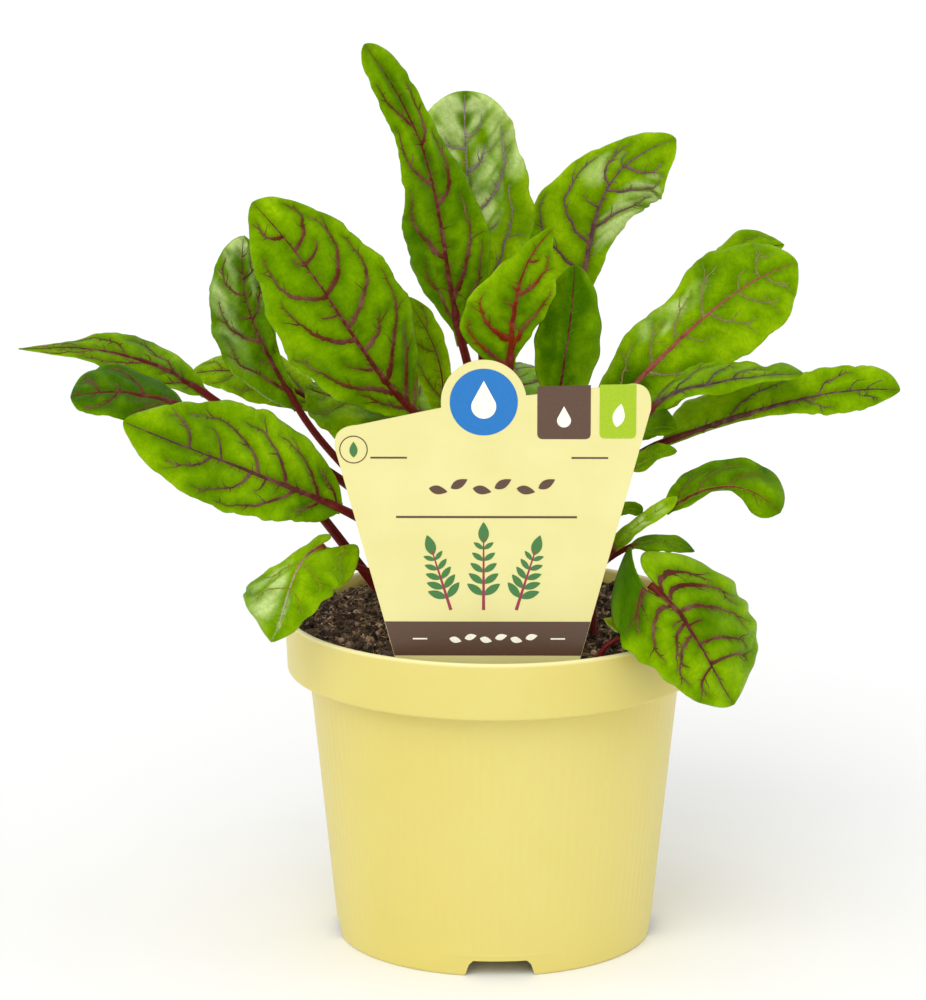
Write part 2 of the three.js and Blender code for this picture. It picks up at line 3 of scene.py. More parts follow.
import bmesh
import bpy
import numpy as np
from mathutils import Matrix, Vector


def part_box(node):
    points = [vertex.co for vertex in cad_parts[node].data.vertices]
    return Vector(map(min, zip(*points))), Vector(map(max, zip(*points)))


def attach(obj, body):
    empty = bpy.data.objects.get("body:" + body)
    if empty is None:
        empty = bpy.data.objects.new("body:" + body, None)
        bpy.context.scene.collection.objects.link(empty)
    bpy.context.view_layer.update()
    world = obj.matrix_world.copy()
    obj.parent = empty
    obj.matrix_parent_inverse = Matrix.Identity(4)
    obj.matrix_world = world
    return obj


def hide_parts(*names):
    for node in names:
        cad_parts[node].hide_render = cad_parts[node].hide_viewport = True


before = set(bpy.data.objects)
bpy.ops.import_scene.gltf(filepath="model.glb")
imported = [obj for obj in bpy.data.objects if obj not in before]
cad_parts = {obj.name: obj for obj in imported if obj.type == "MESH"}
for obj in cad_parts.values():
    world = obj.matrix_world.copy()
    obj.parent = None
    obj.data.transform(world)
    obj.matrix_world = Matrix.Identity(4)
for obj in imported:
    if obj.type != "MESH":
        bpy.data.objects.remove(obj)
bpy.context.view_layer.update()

MM = 0.001
UP = np.array([0, 0, 1.0])
POT_BOX = np.array(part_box("pot"))
AXIS = np.array([*POT_BOX.mean(axis=0)[:2], 0.0]) / MM  # where the pot's axis stands in the frame

# ---------------------------------------------------------------- camera, light and floor

CAMERA_PLACE = (0, -1246, 417)
CAMERA_TARGET = (-9, 0, 127.2)
LENS, SENSOR = 161.75, 36
LAMPS = [  # name, place seen from the plant, strength, width in degrees
    ("key", (-330, -900, 1000), 1.15, 40),
    ("top", (150, 300, 1150), 0.4, 60),
    ("front", (80, -1200, 240), 0.55, 50),
    ("right", (1200, -450, 350), 0.55, 60),
    ("left", (-1150, -60, 300), 0.5, 40),
]
WORLD_LIGHT = 0.6
FLOOR_SIDE = 12000

# ---------------------------------------------------------------- sizes of the solids

POT = dict(
    height=95, rim=60, collar_foot=59.3, collar_height=16.5, body_top=53.2, foot=45.2,
    wall=1.3, foot_ring=2.2, floor_lift=6, floor=1.5,
)
COLLAR_LOW = POT["height"] - POT["collar_height"]
COLLAR_INSIDE = POT["collar_foot"] - POT["wall"]  # radius where the collar begins
POT_FLOOR = POT["floor_lift"] + POT["floor"]  # height of the floor's upper side
NOTCH = dict(count=4, width=20.5, top_width=17.5, height=4.7, corner=1.2, reach=12, turn=2.2)
DRAIN = dict(count=6, radius=4, ring=29)
FLUTES = 112  # fine upright flutes round the pot's body
FLUTE_DEPTH = 0.13
POT_SEGMENTS = 4 * FLUTES
LINE_HEIGHT = 6.2  # of the thin moulded line over the front notch
SHARP_EDGE = 35  # degrees from which an edge of the pot is not smoothed

SOIL = dict(edge=90.5, middle=93, lump=0.8, clear=1.8, gap=0.5)  # heights of its top, and clearances
FRONT_DROP = 2.6  # how far the soil's surface sinks in front of the label
LABEL = dict(
    y=-46.5, thick=0.7, middle=-1.8, low=88, low_half=24.2, foot_half=13, foot_shoulder=80,
    foot_tip=58, foot_tip_half=4, head=(-3, 165.5), head_radius=11.7, head_arc=(9, 188),
    right_top=((42.6, 163.5), (43.2, 170.8), (37.5, 170.6)),
    left_top=((-37.5, 159), (-44.6, 158.6), (-43.7, 152.5)), head_right=(9.5, 167.4),
)

# ---------------------------------------------------------------- leaves
# A row's foot, rib, half widths and face, and what PLAIN gives up to lean, are as in the part's source, so
# that the blades keep its form. The other values say how a leaf looks:
#   tone    darker (-1) or brighter (1) green
#   ink     colours of the veins at the leaf's base and at its tip
#   twig    colour of the side veins, where it is another
#   bold    width of the side veins
#   faint   how far the side veins fade into the green
#   pucker  height of the cushions between the veins
#   rough   roughness of the skin
#   smooth  how far the teeth of the margin are evened out
#   core    share of the midrib's width that has the veins' colour
#   dents   notches of the margin: side, place, depth and half length along the leaf

WIDTH_AT = (0.1, 0.35, 0.65, 0.9)  # places along the leaf of its four half widths
PLAIN = dict(
    ends=(0.6, 0.6), twist=0, fold=6, curl=-14, wave=(1, 2, 0), lobes=((0, 0), (0, 0)),
    stem=1.2, tuck=0, lean=(0, 0),
    tone=0.0, ink=("maroon", "maroon"), twig=None, bold=1.1, faint=0.0, pucker=0.75, rough=0.34,
    smooth=0.0, core=0.97, dents=(),
)
SMALL = dict(face=(0, -0.8, 0.6), stem=0.8, faint=1.0, core=-0.2)  # small leaves about the crown
LEAVES = [
    dict(foot=(-4, -10), rib=((-9, -15, 175), (-14, -17, 203), (-20, -19, 231), (-36, -22, 260)),
         left=(3.6, 10.5, 7.2, 5.2), right=(6, 13, 7, 5.3), face=(0.2, -1, 0.1), twist=30,
         wave=(1.6, 2, 0.3), tone=-0.5, bold=1.8, pucker=1.0),
    dict(foot=(-1, 3), rib=((-4, 4, 176), (-6, 6, 200), (-8, 6, 223), (-8.5, 2, 244)),
         left=(6.5, 12, 13, 9.5), right=(8.5, 18, 16.3, 11), face=(0.1, -0.95, 0.3), twist=-10,
         tone=0.35, ink=("dusk", "grey"), rough=0.3, pucker=0.9),
    dict(foot=(8, 10), rib=((21.5, 16, 178), (27, 18, 198), (33, 17, 216), (51, 12, 229)),
         left=(9, 18.5, 12, 5), right=(3, 6.5, 12.5, 11), face=(0.1, -0.9, 0.4),
         tone=0.4, ink=("dusk", "purple")),
    dict(foot=(2, -20), rib=((4, -28, 171), (5, -29, 185), (8, -31, 199), (16, -33, 211)),
         left=(10, 14, 6.5, 2.2), right=(2.2, 8, 9.8, 4), face=(0, -0.9, 0.4), wave=(0.8, 2, 0.2),
         tone=0.05, ink=("rust", "rust"), bold=1.9, pucker=0.9),
    dict(foot=(9, -18), rib=((17, -24, 156), (19, -25, 171), (21, -25, 186), (22, -22, 199)),
         left=(3.5, 8.2, 8.2, 4.3), right=(4.5, 9.2, 8.6, 4.8), face=(0.1, -1, 0.1), stem=0.8,
         wave=(0.5, 2, 0), tone=-0.95, faint=1.0, bold=0.6, core=0.85, pucker=0.15, smooth=0.8),
    dict(foot=(15, 3), rib=((30, 2, 150), (48, 7, 168), (67, 12, 184), (86, 16, 193)),
         left=(7.5, 13, 14.8, 9), right=(8, 14.5, 16, 11.5), face=(0, -0.85, 0.5),
         tone=0.35, ink=("pink", "pink"), twig="mauve", faint=0.35, bold=0.8,
         dents=((-1, 0.49, 3.6, 0.08),)),
    dict(foot=(17, 12), rib=((54, 24, 178), (63, 25, 187), (73, 26, 194), (83, 28, 196)),
         left=(1.5, 4.5, 7.5, 3.2), right=(3, 6.5, 7, 3), face=(0, -0.85, 0.5), faint=0.8),
    dict(foot=(21, -4), rib=((48, -4, 145), (72, -6, 154), (94, -8, 160), (114, -6, 160.5)),
         left=(10.5, 10.2, 7.6, 6), right=(1.5, 1.8, 5.8, 4), face=(0, -0.87, 0.5), twist=40,
         tone=0.35, ink=("dusk", "slate"), bold=0.8),
    dict(foot=(16, -11), rib=((44, -14, 157), (54, -14, 162.5), (70, -15, 166), (86, -14, 167)),
         left=(6, 14, 14, 7.5), right=(2.5, 3.4, 3, 2.2), face=(0, -0.45, 0.9), curl=-25,
         wave=(1.4, 2, 0.5), tone=0.1, ink=("slate", "slate"), pucker=0.8, bold=0.9,
         dents=((-1, 0.78, 3.4, 0.06), (-1, 0.94, -1.2, 0.03))),
    dict(foot=(20, -18.6), rib=((47.5, -26, 130.5), (56, -28, 135.6), (67, -30, 138), (79, -32, 131)),
         left=(4.5, 8.4, 10.2, 8.8), right=(1.8, 1.6, 1.6, 5), face=(0.1, -0.85, 0.5), fold=-6,
         tone=-0.85, ink=("maroon", "rust"), faint=0.6, bold=0.7, core=0.35),
    dict(foot=(42, -25), rib=((43, -47, 114), (52, -53, 106), (59, -55, 94.5), (66, -53, 82)),
         left=(17.5, 21.5, 21, 14.5), right=(16.5, 17, 12.5, 6.5), ends=(0, 0.6),
         face=(0.3, -0.87, 0.4), lobes=((9, 0), (13.5, -14)), curl=-22, tuck=82,
         ink=("maroon", "dusk"), bold=1.2, smooth=0.45),
    dict(foot=(22, -24), rib=((38, -30, 121), (44, -31, 123), (50, -32, 123), (55.5, -32, 120)),
         left=(2.4, 2.6, 2.5, 1.5), right=(2, 4, 4, 2), face=(0.2, -0.5, 0.85), stem=0.8,
         wave=(0.3, 2, 0), tone=-0.6, faint=1.0, core=0.1),
    dict(foot=(-18, -24), rib=((-42.5, -36, 133), (-61, -44, 143), (-80, -50, 152), (-101, -52, 161)),
         left=(6.5, 11.4, 12.2, 6.5), right=(10, 17.5, 16, 7.5), face=(-0.1, -0.85, 0.45),
         tone=0.05, ink=("maroon", "slate"), pucker=1.2),
    dict(foot=(-13, -30), rib=((-47, -41, 123.5), (-54, -46, 119), (-57.5, -50, 110), (-61.5, -49, 98.5)),
         left=(12.5, 12, 9, 3.6), right=(3.2, 6.8, 14, 13), ends=(0, 0.4),
         face=(-0.2, -0.87, 0.45), lobes=((9.5, 4), (3, 0)), curl=-25, tuck=80, stem=0.9,
         tone=0.45, ink=("rust", "pale"), twig="rust", faint=0.9, bold=0.6, core=0.45),
    dict(foot=(-17, -8), rib=((-55, -12, 156), (-65, -14, 175), (-70, -14, 190), (-70, -10, 205)),
         left=(6.5, 12.4, 10.6, 6.3), right=(2, 4.5, 8, 5), face=(-0.2, -0.9, 0.3), stem=1,
         tone=-0.65, ink=("maroon", "dusk"), pucker=1.8, rough=0.24),
    dict(foot=(-8, -15), rib=((-22, -22, 157), (-36, -26, 175), (-49, -26, 195), (-67, -20, 216)),
         left=(7, 16.5, 17, 9), right=(8, 17.8, 18, 10.5), face=(0, -0.92, 0.35),
         wave=(1.4, 2, 0.1), tone=0.1, bold=1.7),
    # leaf 17's high tone is painted light: it brightens a leaf that lies in the shade behind leaf 16
    dict(foot=(-6, -3), rib=((-15, -6, 152), (-15, -6, 165), (-18.5, -6, 176), (-25, -6, 187)),
         left=(4, 7, 7, 4), right=(3, 2.8, 4, 3), face=(0, -0.92, 0.35), stem=0.9,
         tone=1.4, faint=0.3, core=0.3),
    dict(foot=(-20, 2), rib=((-82, 0, 158), (-97, -2, 167), (-114, -4, 171.5), (-134, -6, 172)),
         left=(4, 6.7, 5, 1.6), right=(5, 9.3, 6, 1.2), face=(0, -0.6, 0.8), tone=0.35, bold=0.8),
    dict(foot=(-26, -5), rib=((-87, -18, 158), (-99, -20, 162), (-109, -22, 163), (-118, -22, 161.5)),
         left=(4.5, 8.5, 8.5, 5.5), right=(5.5, 10.5, 10.5, 8), face=(0, -0.6, 0.8),
         lean=(-0.85, 0), tone=-0.8),
    dict(foot=(-15, 9), rib=((-47, 14, 150), (-62, 16, 158), (-75, 18, 161), (-87, 18, 160)),
         left=(4, 8, 7.5, 4), right=(4, 9, 8, 3.6), face=(0, -0.7, 0.7), tone=0.7, faint=0.4),
    dict(foot=(-11, 1), rib=((-26, 2, 152), (-36, 4, 153.5), (-46, 6, 156), (-54, 6, 158.5)),
         left=(6, 12, 12, 7), right=(4, 7, 6, 3.5), face=(0, -0.6, 0.8), tone=0.5, faint=0.5),
    dict(foot=(26, -2), rib=((40, -8, 147), (43.5, -8, 149.5), (47.5, -9, 150.5), (51, -9, 150)),
         left=(3, 6.5, 6, 3), right=(2, 2.6, 2.5, 1.5), wave=(0.3, 2, 0), tone=-0.8, **SMALL),
    dict(foot=(28, -17), rib=((38, -18, 140.5), (42.5, -18, 143), (46.5, -18, 145), (51, -18, 145.5)),
         left=(2, 3.6, 3.2, 1.6), right=(2, 2.2, 1.5, 1.3), wave=(0.3, 2, 0), tone=-0.6, **SMALL),
    dict(foot=(19, -25), rib=((32.5, -20, 128.5), (36, -20, 129.5), (39, -20, 129.5), (41.5, -20, 128.5)),
         left=(1.9, 2.2, 2.2, 1.6), right=(1.9, 1.9, 1.9, 1.6), wave=(0.2, 2, 0), tone=-0.6, **SMALL),
    dict(foot=(-8, 12), rib=((-19, 28, 142), (-29, 50, 154), (-36, 72, 157), (-40, 92, 151)),
         left=(7, 13.5, 12.5, 6), right=(7, 13.5, 12.5, 6), face=(-0.1, 0.3, 0.95), tone=0.1),
    dict(foot=(1, 14), rib=((4, 26, 138), (6, 48, 149), (6, 72, 152), (4, 95, 146)),
         left=(6.5, 12.5, 12, 5.5), right=(7, 14.5, 13.5, 6), face=(0.1, 0.2, 1)),
    dict(foot=(10, 18), rib=((28, 30, 142), (42, 46, 150), (56, 62, 152), (70, 78, 147)),
         left=(7, 13, 11, 5), right=(6.5, 12, 10.5, 5), face=(0.2, 0.1, 1), tone=0.2),
    dict(foot=(20, -30), rib=((33, -33, 121), (38, -35, 127), (44, -35, 131.5), (50.5, -34, 136)),
         left=(2, 2, 2.2, 1.7), right=(2, 2, 2.2, 1.7), wave=(0.2, 2, 0), tone=0.6,
         **{**SMALL, "face": (0.2, -0.8, 0.5)}),
]

# Side veins of the leaves that are seen best: where each leaves the rib, where it ends, and how far out it
# reaches as a share of the half width.
VEINS = {
    1: dict(
        left=((0.02, 0.3, 0.6), (0.3, 0.55, 0.8), (0.55, 0.75, 0.8), (0.74, 0.9, 0.7)),
        right=((0.0, 0.34, 0.8), (0.16, 0.5, 0.65), (0.48, 0.7, 0.75), (0.68, 0.86, 0.75)),
    ),
    2: dict(
        left=((0.1, 0.3, 0.7), (0.5, 0.6, 0.5), (0.73, 0.77, 0.5), (0.3, 0.36, 0.3)),
        right=((0.12, 0.56, 0.66), (0.45, 0.82, 0.75), (0.36, 0.42, 0.4), (0.63, 0.75, 0.4),
               (0.78, 0.88, 0.4)),
    ),
    3: dict(
        left=((0.2, 0.5, 0.9), (0.34, 0.72, 0.75), (0.65, 0.84, 0.6), (0.52, 0.56, 0.35),
              (0.76, 0.82, 0.4)),
        right=((0.42, 0.75, 0.85), (0.62, 0.9, 0.75), (0.77, 0.93, 0.55)),
    ),
    4: dict(
        left=((0.0, 0.3, 0.85), (0.2, 0.45, 0.75), (0.42, 0.45, 0.25), (0.53, 0.55, 0.25)),
        right=((0.14, 0.6, 0.85), (0.5, 0.85, 0.7), (0.74, 0.8, 0.3)),
    ),
    5: dict(left=(), right=()),
    6: dict(
        left=((0.12, 0.3, 0.7), (0.28, 0.42, 0.55), (0.4, 0.55, 0.6), (0.535, 0.7, 0.65),
              (0.71, 0.78, 0.35), (0.81, 0.88, 0.6)),
        right=((0.25, 0.42, 0.6), (0.44, 0.52, 0.4), (0.56, 0.7, 0.6), (0.7, 0.85, 0.6),
               (0.84, 0.93, 0.5)),
    ),
    8: dict(
        left=((0.25, 0.5, 0.7), (0.62, 0.78, 0.7), (0.76, 0.84, 0.4), (0.84, 0.92, 0.4)),
        right=((0.55, 0.68, 0.7), (0.8, 0.9, 0.6)),
    ),
    9: dict(
        left=((0.05, 0.3, 0.6), (0.25, 0.5, 0.6), (0.45, 0.62, 0.4), (0.6, 0.8, 0.35)),
        right=((0.4, 0.5, 0.4),),
    ),
    10: dict(left=((0.15, 0.45, 0.7), (0.35, 0.7, 0.75), (0.62, 0.85, 0.6)), right=((0.8, 0.9, 0.5),)),
    11: dict(
        left=((0.07, 0.26, 0.68), (0.15, 0.45, 0.79), (0.28, 0.64, 0.75), (0.53, 0.76, 0.65),
              (0.39, 0.42, 0.2), (0.68, 0.84, 0.6)),
        right=((0.09, 0.28, 0.7), (0.2, 0.52, 0.77), (0.36, 0.62, 0.5), (0.45, 0.74, 0.74),
               (0.7, 0.86, 0.6), (0.33, 0.36, 0.25)),
    ),
    13: dict(
        left=((0.1, 0.2, 0.66), (0.22, 0.545, 0.9), (0.43, 0.66, 0.77), (0.62, 0.8, 0.55),
              (0.36, 0.4, 0.4)),
        right=((0.02, 0.14, 0.7), (0.11, 0.34, 0.74), (0.27, 0.52, 0.73), (0.4, 0.77, 0.73),
               (0.576, 0.68, 0.47), (0.72, 0.84, 0.67)),
    ),
    14: dict(
        left=((0.0, 0.2, 0.7), (0.3, 0.5, 0.7), (0.55, 0.75, 0.6)),
        right=((0.3, 0.55, 0.6), (0.55, 0.75, 0.65)),
    ),
    16: dict(
        left=((0.03, 0.22, 0.65), (0.13, 0.55, 0.93), (0.4, 0.68, 0.67), (0.6, 0.85, 0.7),
              (0.86, 0.95, 0.5), (0.26, 0.35, 0.4), (0.52, 0.55, 0.25), (0.74, 0.79, 0.15)),
        right=((0.01, 0.12, 0.9), (0.06, 0.33, 0.83), (0.19, 0.58, 0.88), (0.46, 0.75, 0.85),
               (0.61, 0.87, 0.76), (0.8, 0.94, 0.75), (0.34, 0.44, 0.5), (0.74, 0.79, 0.4)),
    ),
}
SHORT_RISE, SHORT_REACH = 0.11, 0.5  # a vein that runs and reaches less far than this is short and thin

# Painted highlights, pale patches that stand for the gloss of the upper faces: place along the leaf, place
# across it (-1 left, 1 right), half sizes, strength.
PAINTED_HIGHLIGHT_SPOTS = {
    2: ((0.84, -0.5, 0.2, 0.8, 1.2), (0.8, 0.8, 0.24, 0.4, 0.9), (0.56, 0.28, 0.2, 0.3, 1.1),
        (0.92, 0.1, 0.12, 0.6, 1.2)),
    3: ((0.62, 0.7, 0.3, 0.45, 0.9), (0.7, -0.45, 0.12, 0.4, 0.6), (0.42, 0.45, 0.14, 0.4, 0.7)),
    6: ((0.42, -0.65, 0.12, 0.34, 0.8), (0.55, -0.55, 0.1, 0.25, 0.3)),
    8: ((0.12, 0.4, 0.14, 0.6, 0.7),),
    14: ((0.62, 0.45, 0.35, 0.4, 0.7), (0.8, -0.06, 0.25, 0.12, 0.7)),
    15: ((0.93, -0.2, 0.1, 0.8, 1.3), (0.72, -0.55, 0.24, 0.45, 0.7), (0.72, 0.5, 0.2, 0.3, 0.7),
         (0.4, -0.6, 0.2, 0.35, 0.35)),
    28: ((0.6, 0.0, 0.5, 0.8, 0.6),),
}

# Darker green, or brighter where the strength is below zero, given like the painted highlights: partly the
# leaves' own darker or paler green, partly painted shade on folds and shaded parts and painted light on
# folded or curled margins.
TONE_AND_PAINTED_SHADE = {
    1: ((0.78, 0.0, 0.2, 0.5, 0.5), (0.3, -0.8, 0.25, 0.4, 0.4), (0.5, 0.75, 0.2, 0.35, -0.5)),
    2: ((0.3, -0.3, 0.3, 0.6, 0.3),),
    5: ((0.45, -0.6, 0.25, 0.35, 0.5), (0.8, 0.3, 0.15, 0.5, 0.4)),
    6: ((0.08, 0.0, 0.2, 0.9, 0.5),),
    9: ((0.5, 0.8, 0.6, 0.6, -0.7),),
    11: ((0.0, 0.7, 0.3, 0.6, 1.0), (0.4, -0.3, 0.12, 0.3, 0.25)),
    13: ((0.1, -0.5, 0.12, 0.6, 0.3),),
    15: ((0.3, 0.9, 0.6, 0.35, -0.9),),
    16: ((0.12, 0.6, 0.16, 0.6, 0.4),),
    19: ((0.5, 0.0, 0.7, 1.3, 0.5),),
    21: ((0.15, -0.3, 0.2, 1.0, 0.8),),
}

RIB_END = 0.88  # where the solid midrib ends; the fine one thins out up to MIDRIB_END
MIDRIB_END = 0.985
RIB_TAPER = 0.72  # share of its radius that the rib loses up to RIB_END
BLADE_THICK = 0.45  # thins out at the margin
CELL = 0.75  # side of a face of the fine blades
WIDE_VEIN = 0.3  # half width from which a vein parts the cushions
CUSHION_RISE = 2.4  # distance from a vein over which a cushion rises
VEIN_STEP = 0.8  # length of a vein's faces
STALK_SIDES = 14
HOLE_DEPTH = 8  # how far the stalks reach into the soil
RED_FOOT = 14  # height over which the stalks turn from the paler red of their feet to the darker one

# ---------------------------------------------------------------- colours


def linear(red, green, blue):
    """Linear colour of an sRGB one, given from 0 to 255."""
    channels = np.array([red, green, blue]) / 255
    return np.where(channels <= 0.04045, channels / 12.92, ((channels + 0.055) / 1.055) ** 2.4)


GREENS = np.array([linear(50, 92, 0), linear(104, 145, 0), linear(148, 186, 8)])  # dark, middle, bright
UNDERSIDE = linear(138, 168, 88)
# pale colour of the painted highlights on the leaves
PAINTED_HIGHLIGHT = linear(204, 222, 146)
INKS = {
    "maroon": linear(82, 24, 12),
    "dusk": linear(84, 42, 38),
    "rust": linear(118, 30, 2),
    "pink": linear(146, 68, 56),
    "purple": linear(110, 84, 92),
    "slate": linear(70, 54, 52),
    "ash": linear(126, 98, 78),
    "grey": linear(146, 138, 142),
    "mauve": linear(126, 106, 78),
    "pale": linear(196, 190, 172),
}
FRINGE = linear(74, 70, 10)  # the green beside the veins
STALK_RED = linear(92, 18, 16)
STALK_LOW = linear(138, 58, 58)


def grey(value):
    return (value, value, value)


def mix(first, second, share):
    """The first colour at a share of 0, the second at a share of 1."""
    share = np.clip(np.asarray(share, float), 0, 1)[..., None]
    return first * (1 - share) + second * share


# ---------------------------------------------------------------- numbers


def unit(vectors):
    """Vectors brought to a length of 1."""
    return vectors / np.maximum(np.linalg.norm(vectors, axis=-1, keepdims=True), 1e-9)


def side_of(x):
    """-1 left of the midrib, 1 right of it."""
    return np.where(x < 0, -1, 1)


def turns(count):
    """Angles spread evenly over a full turn."""
    return np.arange(count) * 2 * math.pi / count


def lattice(i, j, seed):
    """Values from -1 to 1 that stand for whole numbers."""
    value = np.sin(i * 127.1 + j * 311.7 + seed * 74.7) * 43758.5453
    return 2 * (value - np.floor(value)) - 1


def noise(x, y, seed):
    """Smooth noise from -1 to 1 with a cell of one unit."""
    i, j = np.floor(x), np.floor(y)
    u, v = x - i, y - j
    u, v = u * u * (3 - 2 * u), v * v * (3 - 2 * v)
    low = lattice(i, j, seed) * (1 - u) + lattice(i + 1, j, seed) * u
    high = lattice(i, j + 1, seed) * (1 - u) + lattice(i + 1, j + 1, seed) * u
    return low * (1 - v) + high * v


# ---------------------------------------------------------------- mesh helpers


def rows_of(grids):
    """Grids of points or colours as one list."""
    return np.concatenate([grid.reshape(-1, 3) for grid in grids])


def wall_faces(rows, sides):
    """Faces between closed rings of vertices."""
    faces = []
    for i in range(rows - 1):
        for j in range(sides):
            a, b = i * sides + j, i * sides + (j + 1) % sides
            faces.append((a, b, b + sides, a + sides))
    return faces


def fan_faces(rows, sides):
    """Faces that close rings with two vertices that come after them, one at each end."""
    last, low, high = (rows - 1) * sides, rows * sides, rows * sides + 1
    faces = []
    for j in range(sides):
        k = (j + 1) % sides
        faces += [(low, k, j), (high, last + j, last + k)]
    return faces


def turned_over(faces):
    """The same faces, seen from their other side."""
    return [(face[0], *face[:0:-1]) for face in faces]


def tube(rings):
    """Vertices and faces of a closed tube of rings."""
    rows, sides = rings.shape[:2]
    ends = [tuple(reversed(range(sides))), tuple((rows - 1) * sides + j for j in range(sides))]
    return rings.reshape(-1, 3), wall_faces(rows, sides) + ends


def rings_about(centres, side, up, radii, sides):
    """Rings of points about places, in the plane of two directions."""
    across = (np.cos(turns(sides)) * radii[:, None])[..., None]
    upward = (np.sin(turns(sides)) * radii[:, None])[..., None]
    return centres[:, None] + side[:, None] * across + up * upward


def sheet_faces(rows, columns):
    """Faces of a thin solid whose upper and lower face are grids of vertices."""
    count = rows * columns
    faces = []
    for i in range(rows - 1):
        for j in range(columns - 1):
            a = i * columns + j
            faces.append((a, a + 1, a + columns + 1, a + columns))
            faces.append((count + a, count + a + columns, count + a + columns + 1, count + a + 1))
    border = list(range(columns))
    border += [i * columns + columns - 1 for i in range(1, rows)]
    border += [(rows - 1) * columns + j for j in reversed(range(columns - 1))]
    border += [i * columns for i in reversed(range(1, rows - 1))]
    for a, b in zip(border, border[1:] + border[:1]):
        faces.append((a, count + a, count + b, b))
    return faces


def joined(parts):
    """Several (vertices, faces) as one."""
    vertices, faces, first = [], [], 0
    for points, part_faces in parts:
        vertices.append(points)
        faces += [tuple(first + k for k in face) for face in part_faces]
        first += len(points)
    return np.concatenate(vertices), faces


def put(name, vertices, faces, material, slot, replaces=(), tints=None, flat=None, smooth=True):
    """Makes a piece of vertices in the plant's frame, lets it ride and hides the solids that it stands for.

    A piece with tints has a colour at each point, and places for its grain: flat, or else the points.
    """
    mesh = bpy.data.meshes.new(name)
    mesh.from_pydata(((vertices + AXIS) * MM).tolist(), [], faces)
    if tints is not None:
        colours = np.concatenate([tints, np.ones((len(tints), 1))], axis=1)
        grain = vertices if flat is None else flat
        mesh.attributes.new("tint", "FLOAT_COLOR", "POINT").data.foreach_set("color", colours.ravel())
        mesh.attributes.new("flat", "FLOAT_VECTOR", "POINT").data.foreach_set("vector", grain.ravel())
    mesh.polygons.foreach_set("use_smooth", [smooth] * len(mesh.polygons))
    mesh.materials.append(material)
    piece = bpy.data.objects.new(name, mesh)
    bpy.context.scene.collection.objects.link(piece)
    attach(piece, "root")
    if replaces:
        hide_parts(*replaces)
    return piece


# ---------------------------------------------------------------- materials of the leaves


class Shader:
    """A Principled material with short ways to add nodes."""

    def __init__(self, name, **constants):
        self.material = bpy.data.materials.new(name)
        self.material.use_nodes = True
        self.tree = self.material.node_tree
        self.principled = self.tree.nodes["Principled BSDF"]
        for socket, value in constants.items():
            self.feed(self.principled, socket.replace("_", " "), value)

    def feed(self, node, socket, value):
        """Gives an input another node's output, or a value."""
        if isinstance(value, bpy.types.NodeSocket):
            self.tree.links.new(value, node.inputs[socket])
        else:
            node.inputs[socket].default_value = value

    def add(self, kind, **settings):
        """Adds a node; a setting is an input's name with _ for each space, or an attribute's name."""
        node = self.tree.nodes.new("ShaderNode" + kind)
        for name, value in settings.items():
            socket = name.replace("_", " ")
            if socket in node.inputs:
                self.feed(node, socket, value)
            else:
                setattr(node, name, value)
        return node

    def read(self, attribute, output):
        return self.add("Attribute", attribute_name=attribute).outputs[output]

    def noise(self, scale, detail, place=None, roughness=0.5):
        """Noise over the object's own coordinates, where no others are given."""
        if place is None:
            place = self.add("TexCoord").outputs["Object"]
        node = self.add("TexNoise", Vector=place, Scale=scale, Detail=detail, Roughness=roughness)
        return node.outputs["Fac"]

    def ramp(self, value, stops):
        """Colours along a value, from stops of (value, colour)."""
        node = self.add("ValToRGB", Fac=value)
        elements = node.color_ramp.elements
        while len(elements) < len(stops):
            elements.new(0.5)
        for element, (place, colour) in zip(elements, stops):
            element.position = place
            element.color = (*colour, 1)
        return node.outputs["Color"]

    def blend(self, mode, share, first, second):
        node = self.add("Mix", data_type="RGBA", blend_type=mode)
        for index, value in ((0, share), (6, first), (7, second)):
            self.feed(node, index, value)
        return node.outputs[2]

    def math(self, operation, first, second):
        node = self.add("Math", operation=operation)
        for index, value in enumerate((first, second)):
            self.feed(node, index, value)
        return node.outputs[0]

    def spread(self, value, low, high):
        """A noise's value stretched over a range."""
        node = self.add("MapRange", Value=value, From_Min=0.3, From_Max=0.7, To_Min=low, To_Max=high)
        return node.outputs["Result"]

    def finish(self, colour, roughness, height=None, distance=0.0, strength=0.0):
        """The material with its colour, its roughness, and a bump of a height where one is given."""
        self.feed(self.principled, "Base Color", colour)
        self.feed(self.principled, "Roughness", roughness)
        if height is not None:
            bump = self.add("Bump", Height=height, Distance=distance, Strength=strength)
            self.feed(self.principled, "Normal", bump.outputs["Normal"])
        return self.material


def leaf_material(name, rough):
    """Leaf skin: the tint of each point, with fine mottling, a faint net and a waxy, uneven gloss."""
    skin = Shader(name, Specular_IOR_Level=0.2, Specular_Tint=(0.7, 1.0, 0.02, 1.0))
    flat = skin.read("flat", "Vector")
    mottle = skin.noise(0.55, 4.0, flat, 0.6)
    net = skin.add("TexVoronoi", Vector=flat, Scale=0.42, feature="DISTANCE_TO_EDGE").outputs["Distance"]
    lines = skin.ramp(net, [(0.0, grey(0.72)), (0.09, grey(1.0))])
    cloud = skin.ramp(mottle, [(0.3, grey(0.86)), (0.7, grey(1.12))])
    colour = skin.blend("MULTIPLY", 1.0, skin.read("tint", "Color"), cloud)
    colour = skin.blend("MULTIPLY", 0.45, colour, lines)
    gloss = skin.spread(skin.noise(0.12, 2.0, flat), rough - 0.06, rough + 0.14)
    relief = skin.math("ADD", skin.math("MULTIPLY", net, 1.4), mottle)
    return skin.finish(colour, gloss, relief, 0.00025, 0.45)


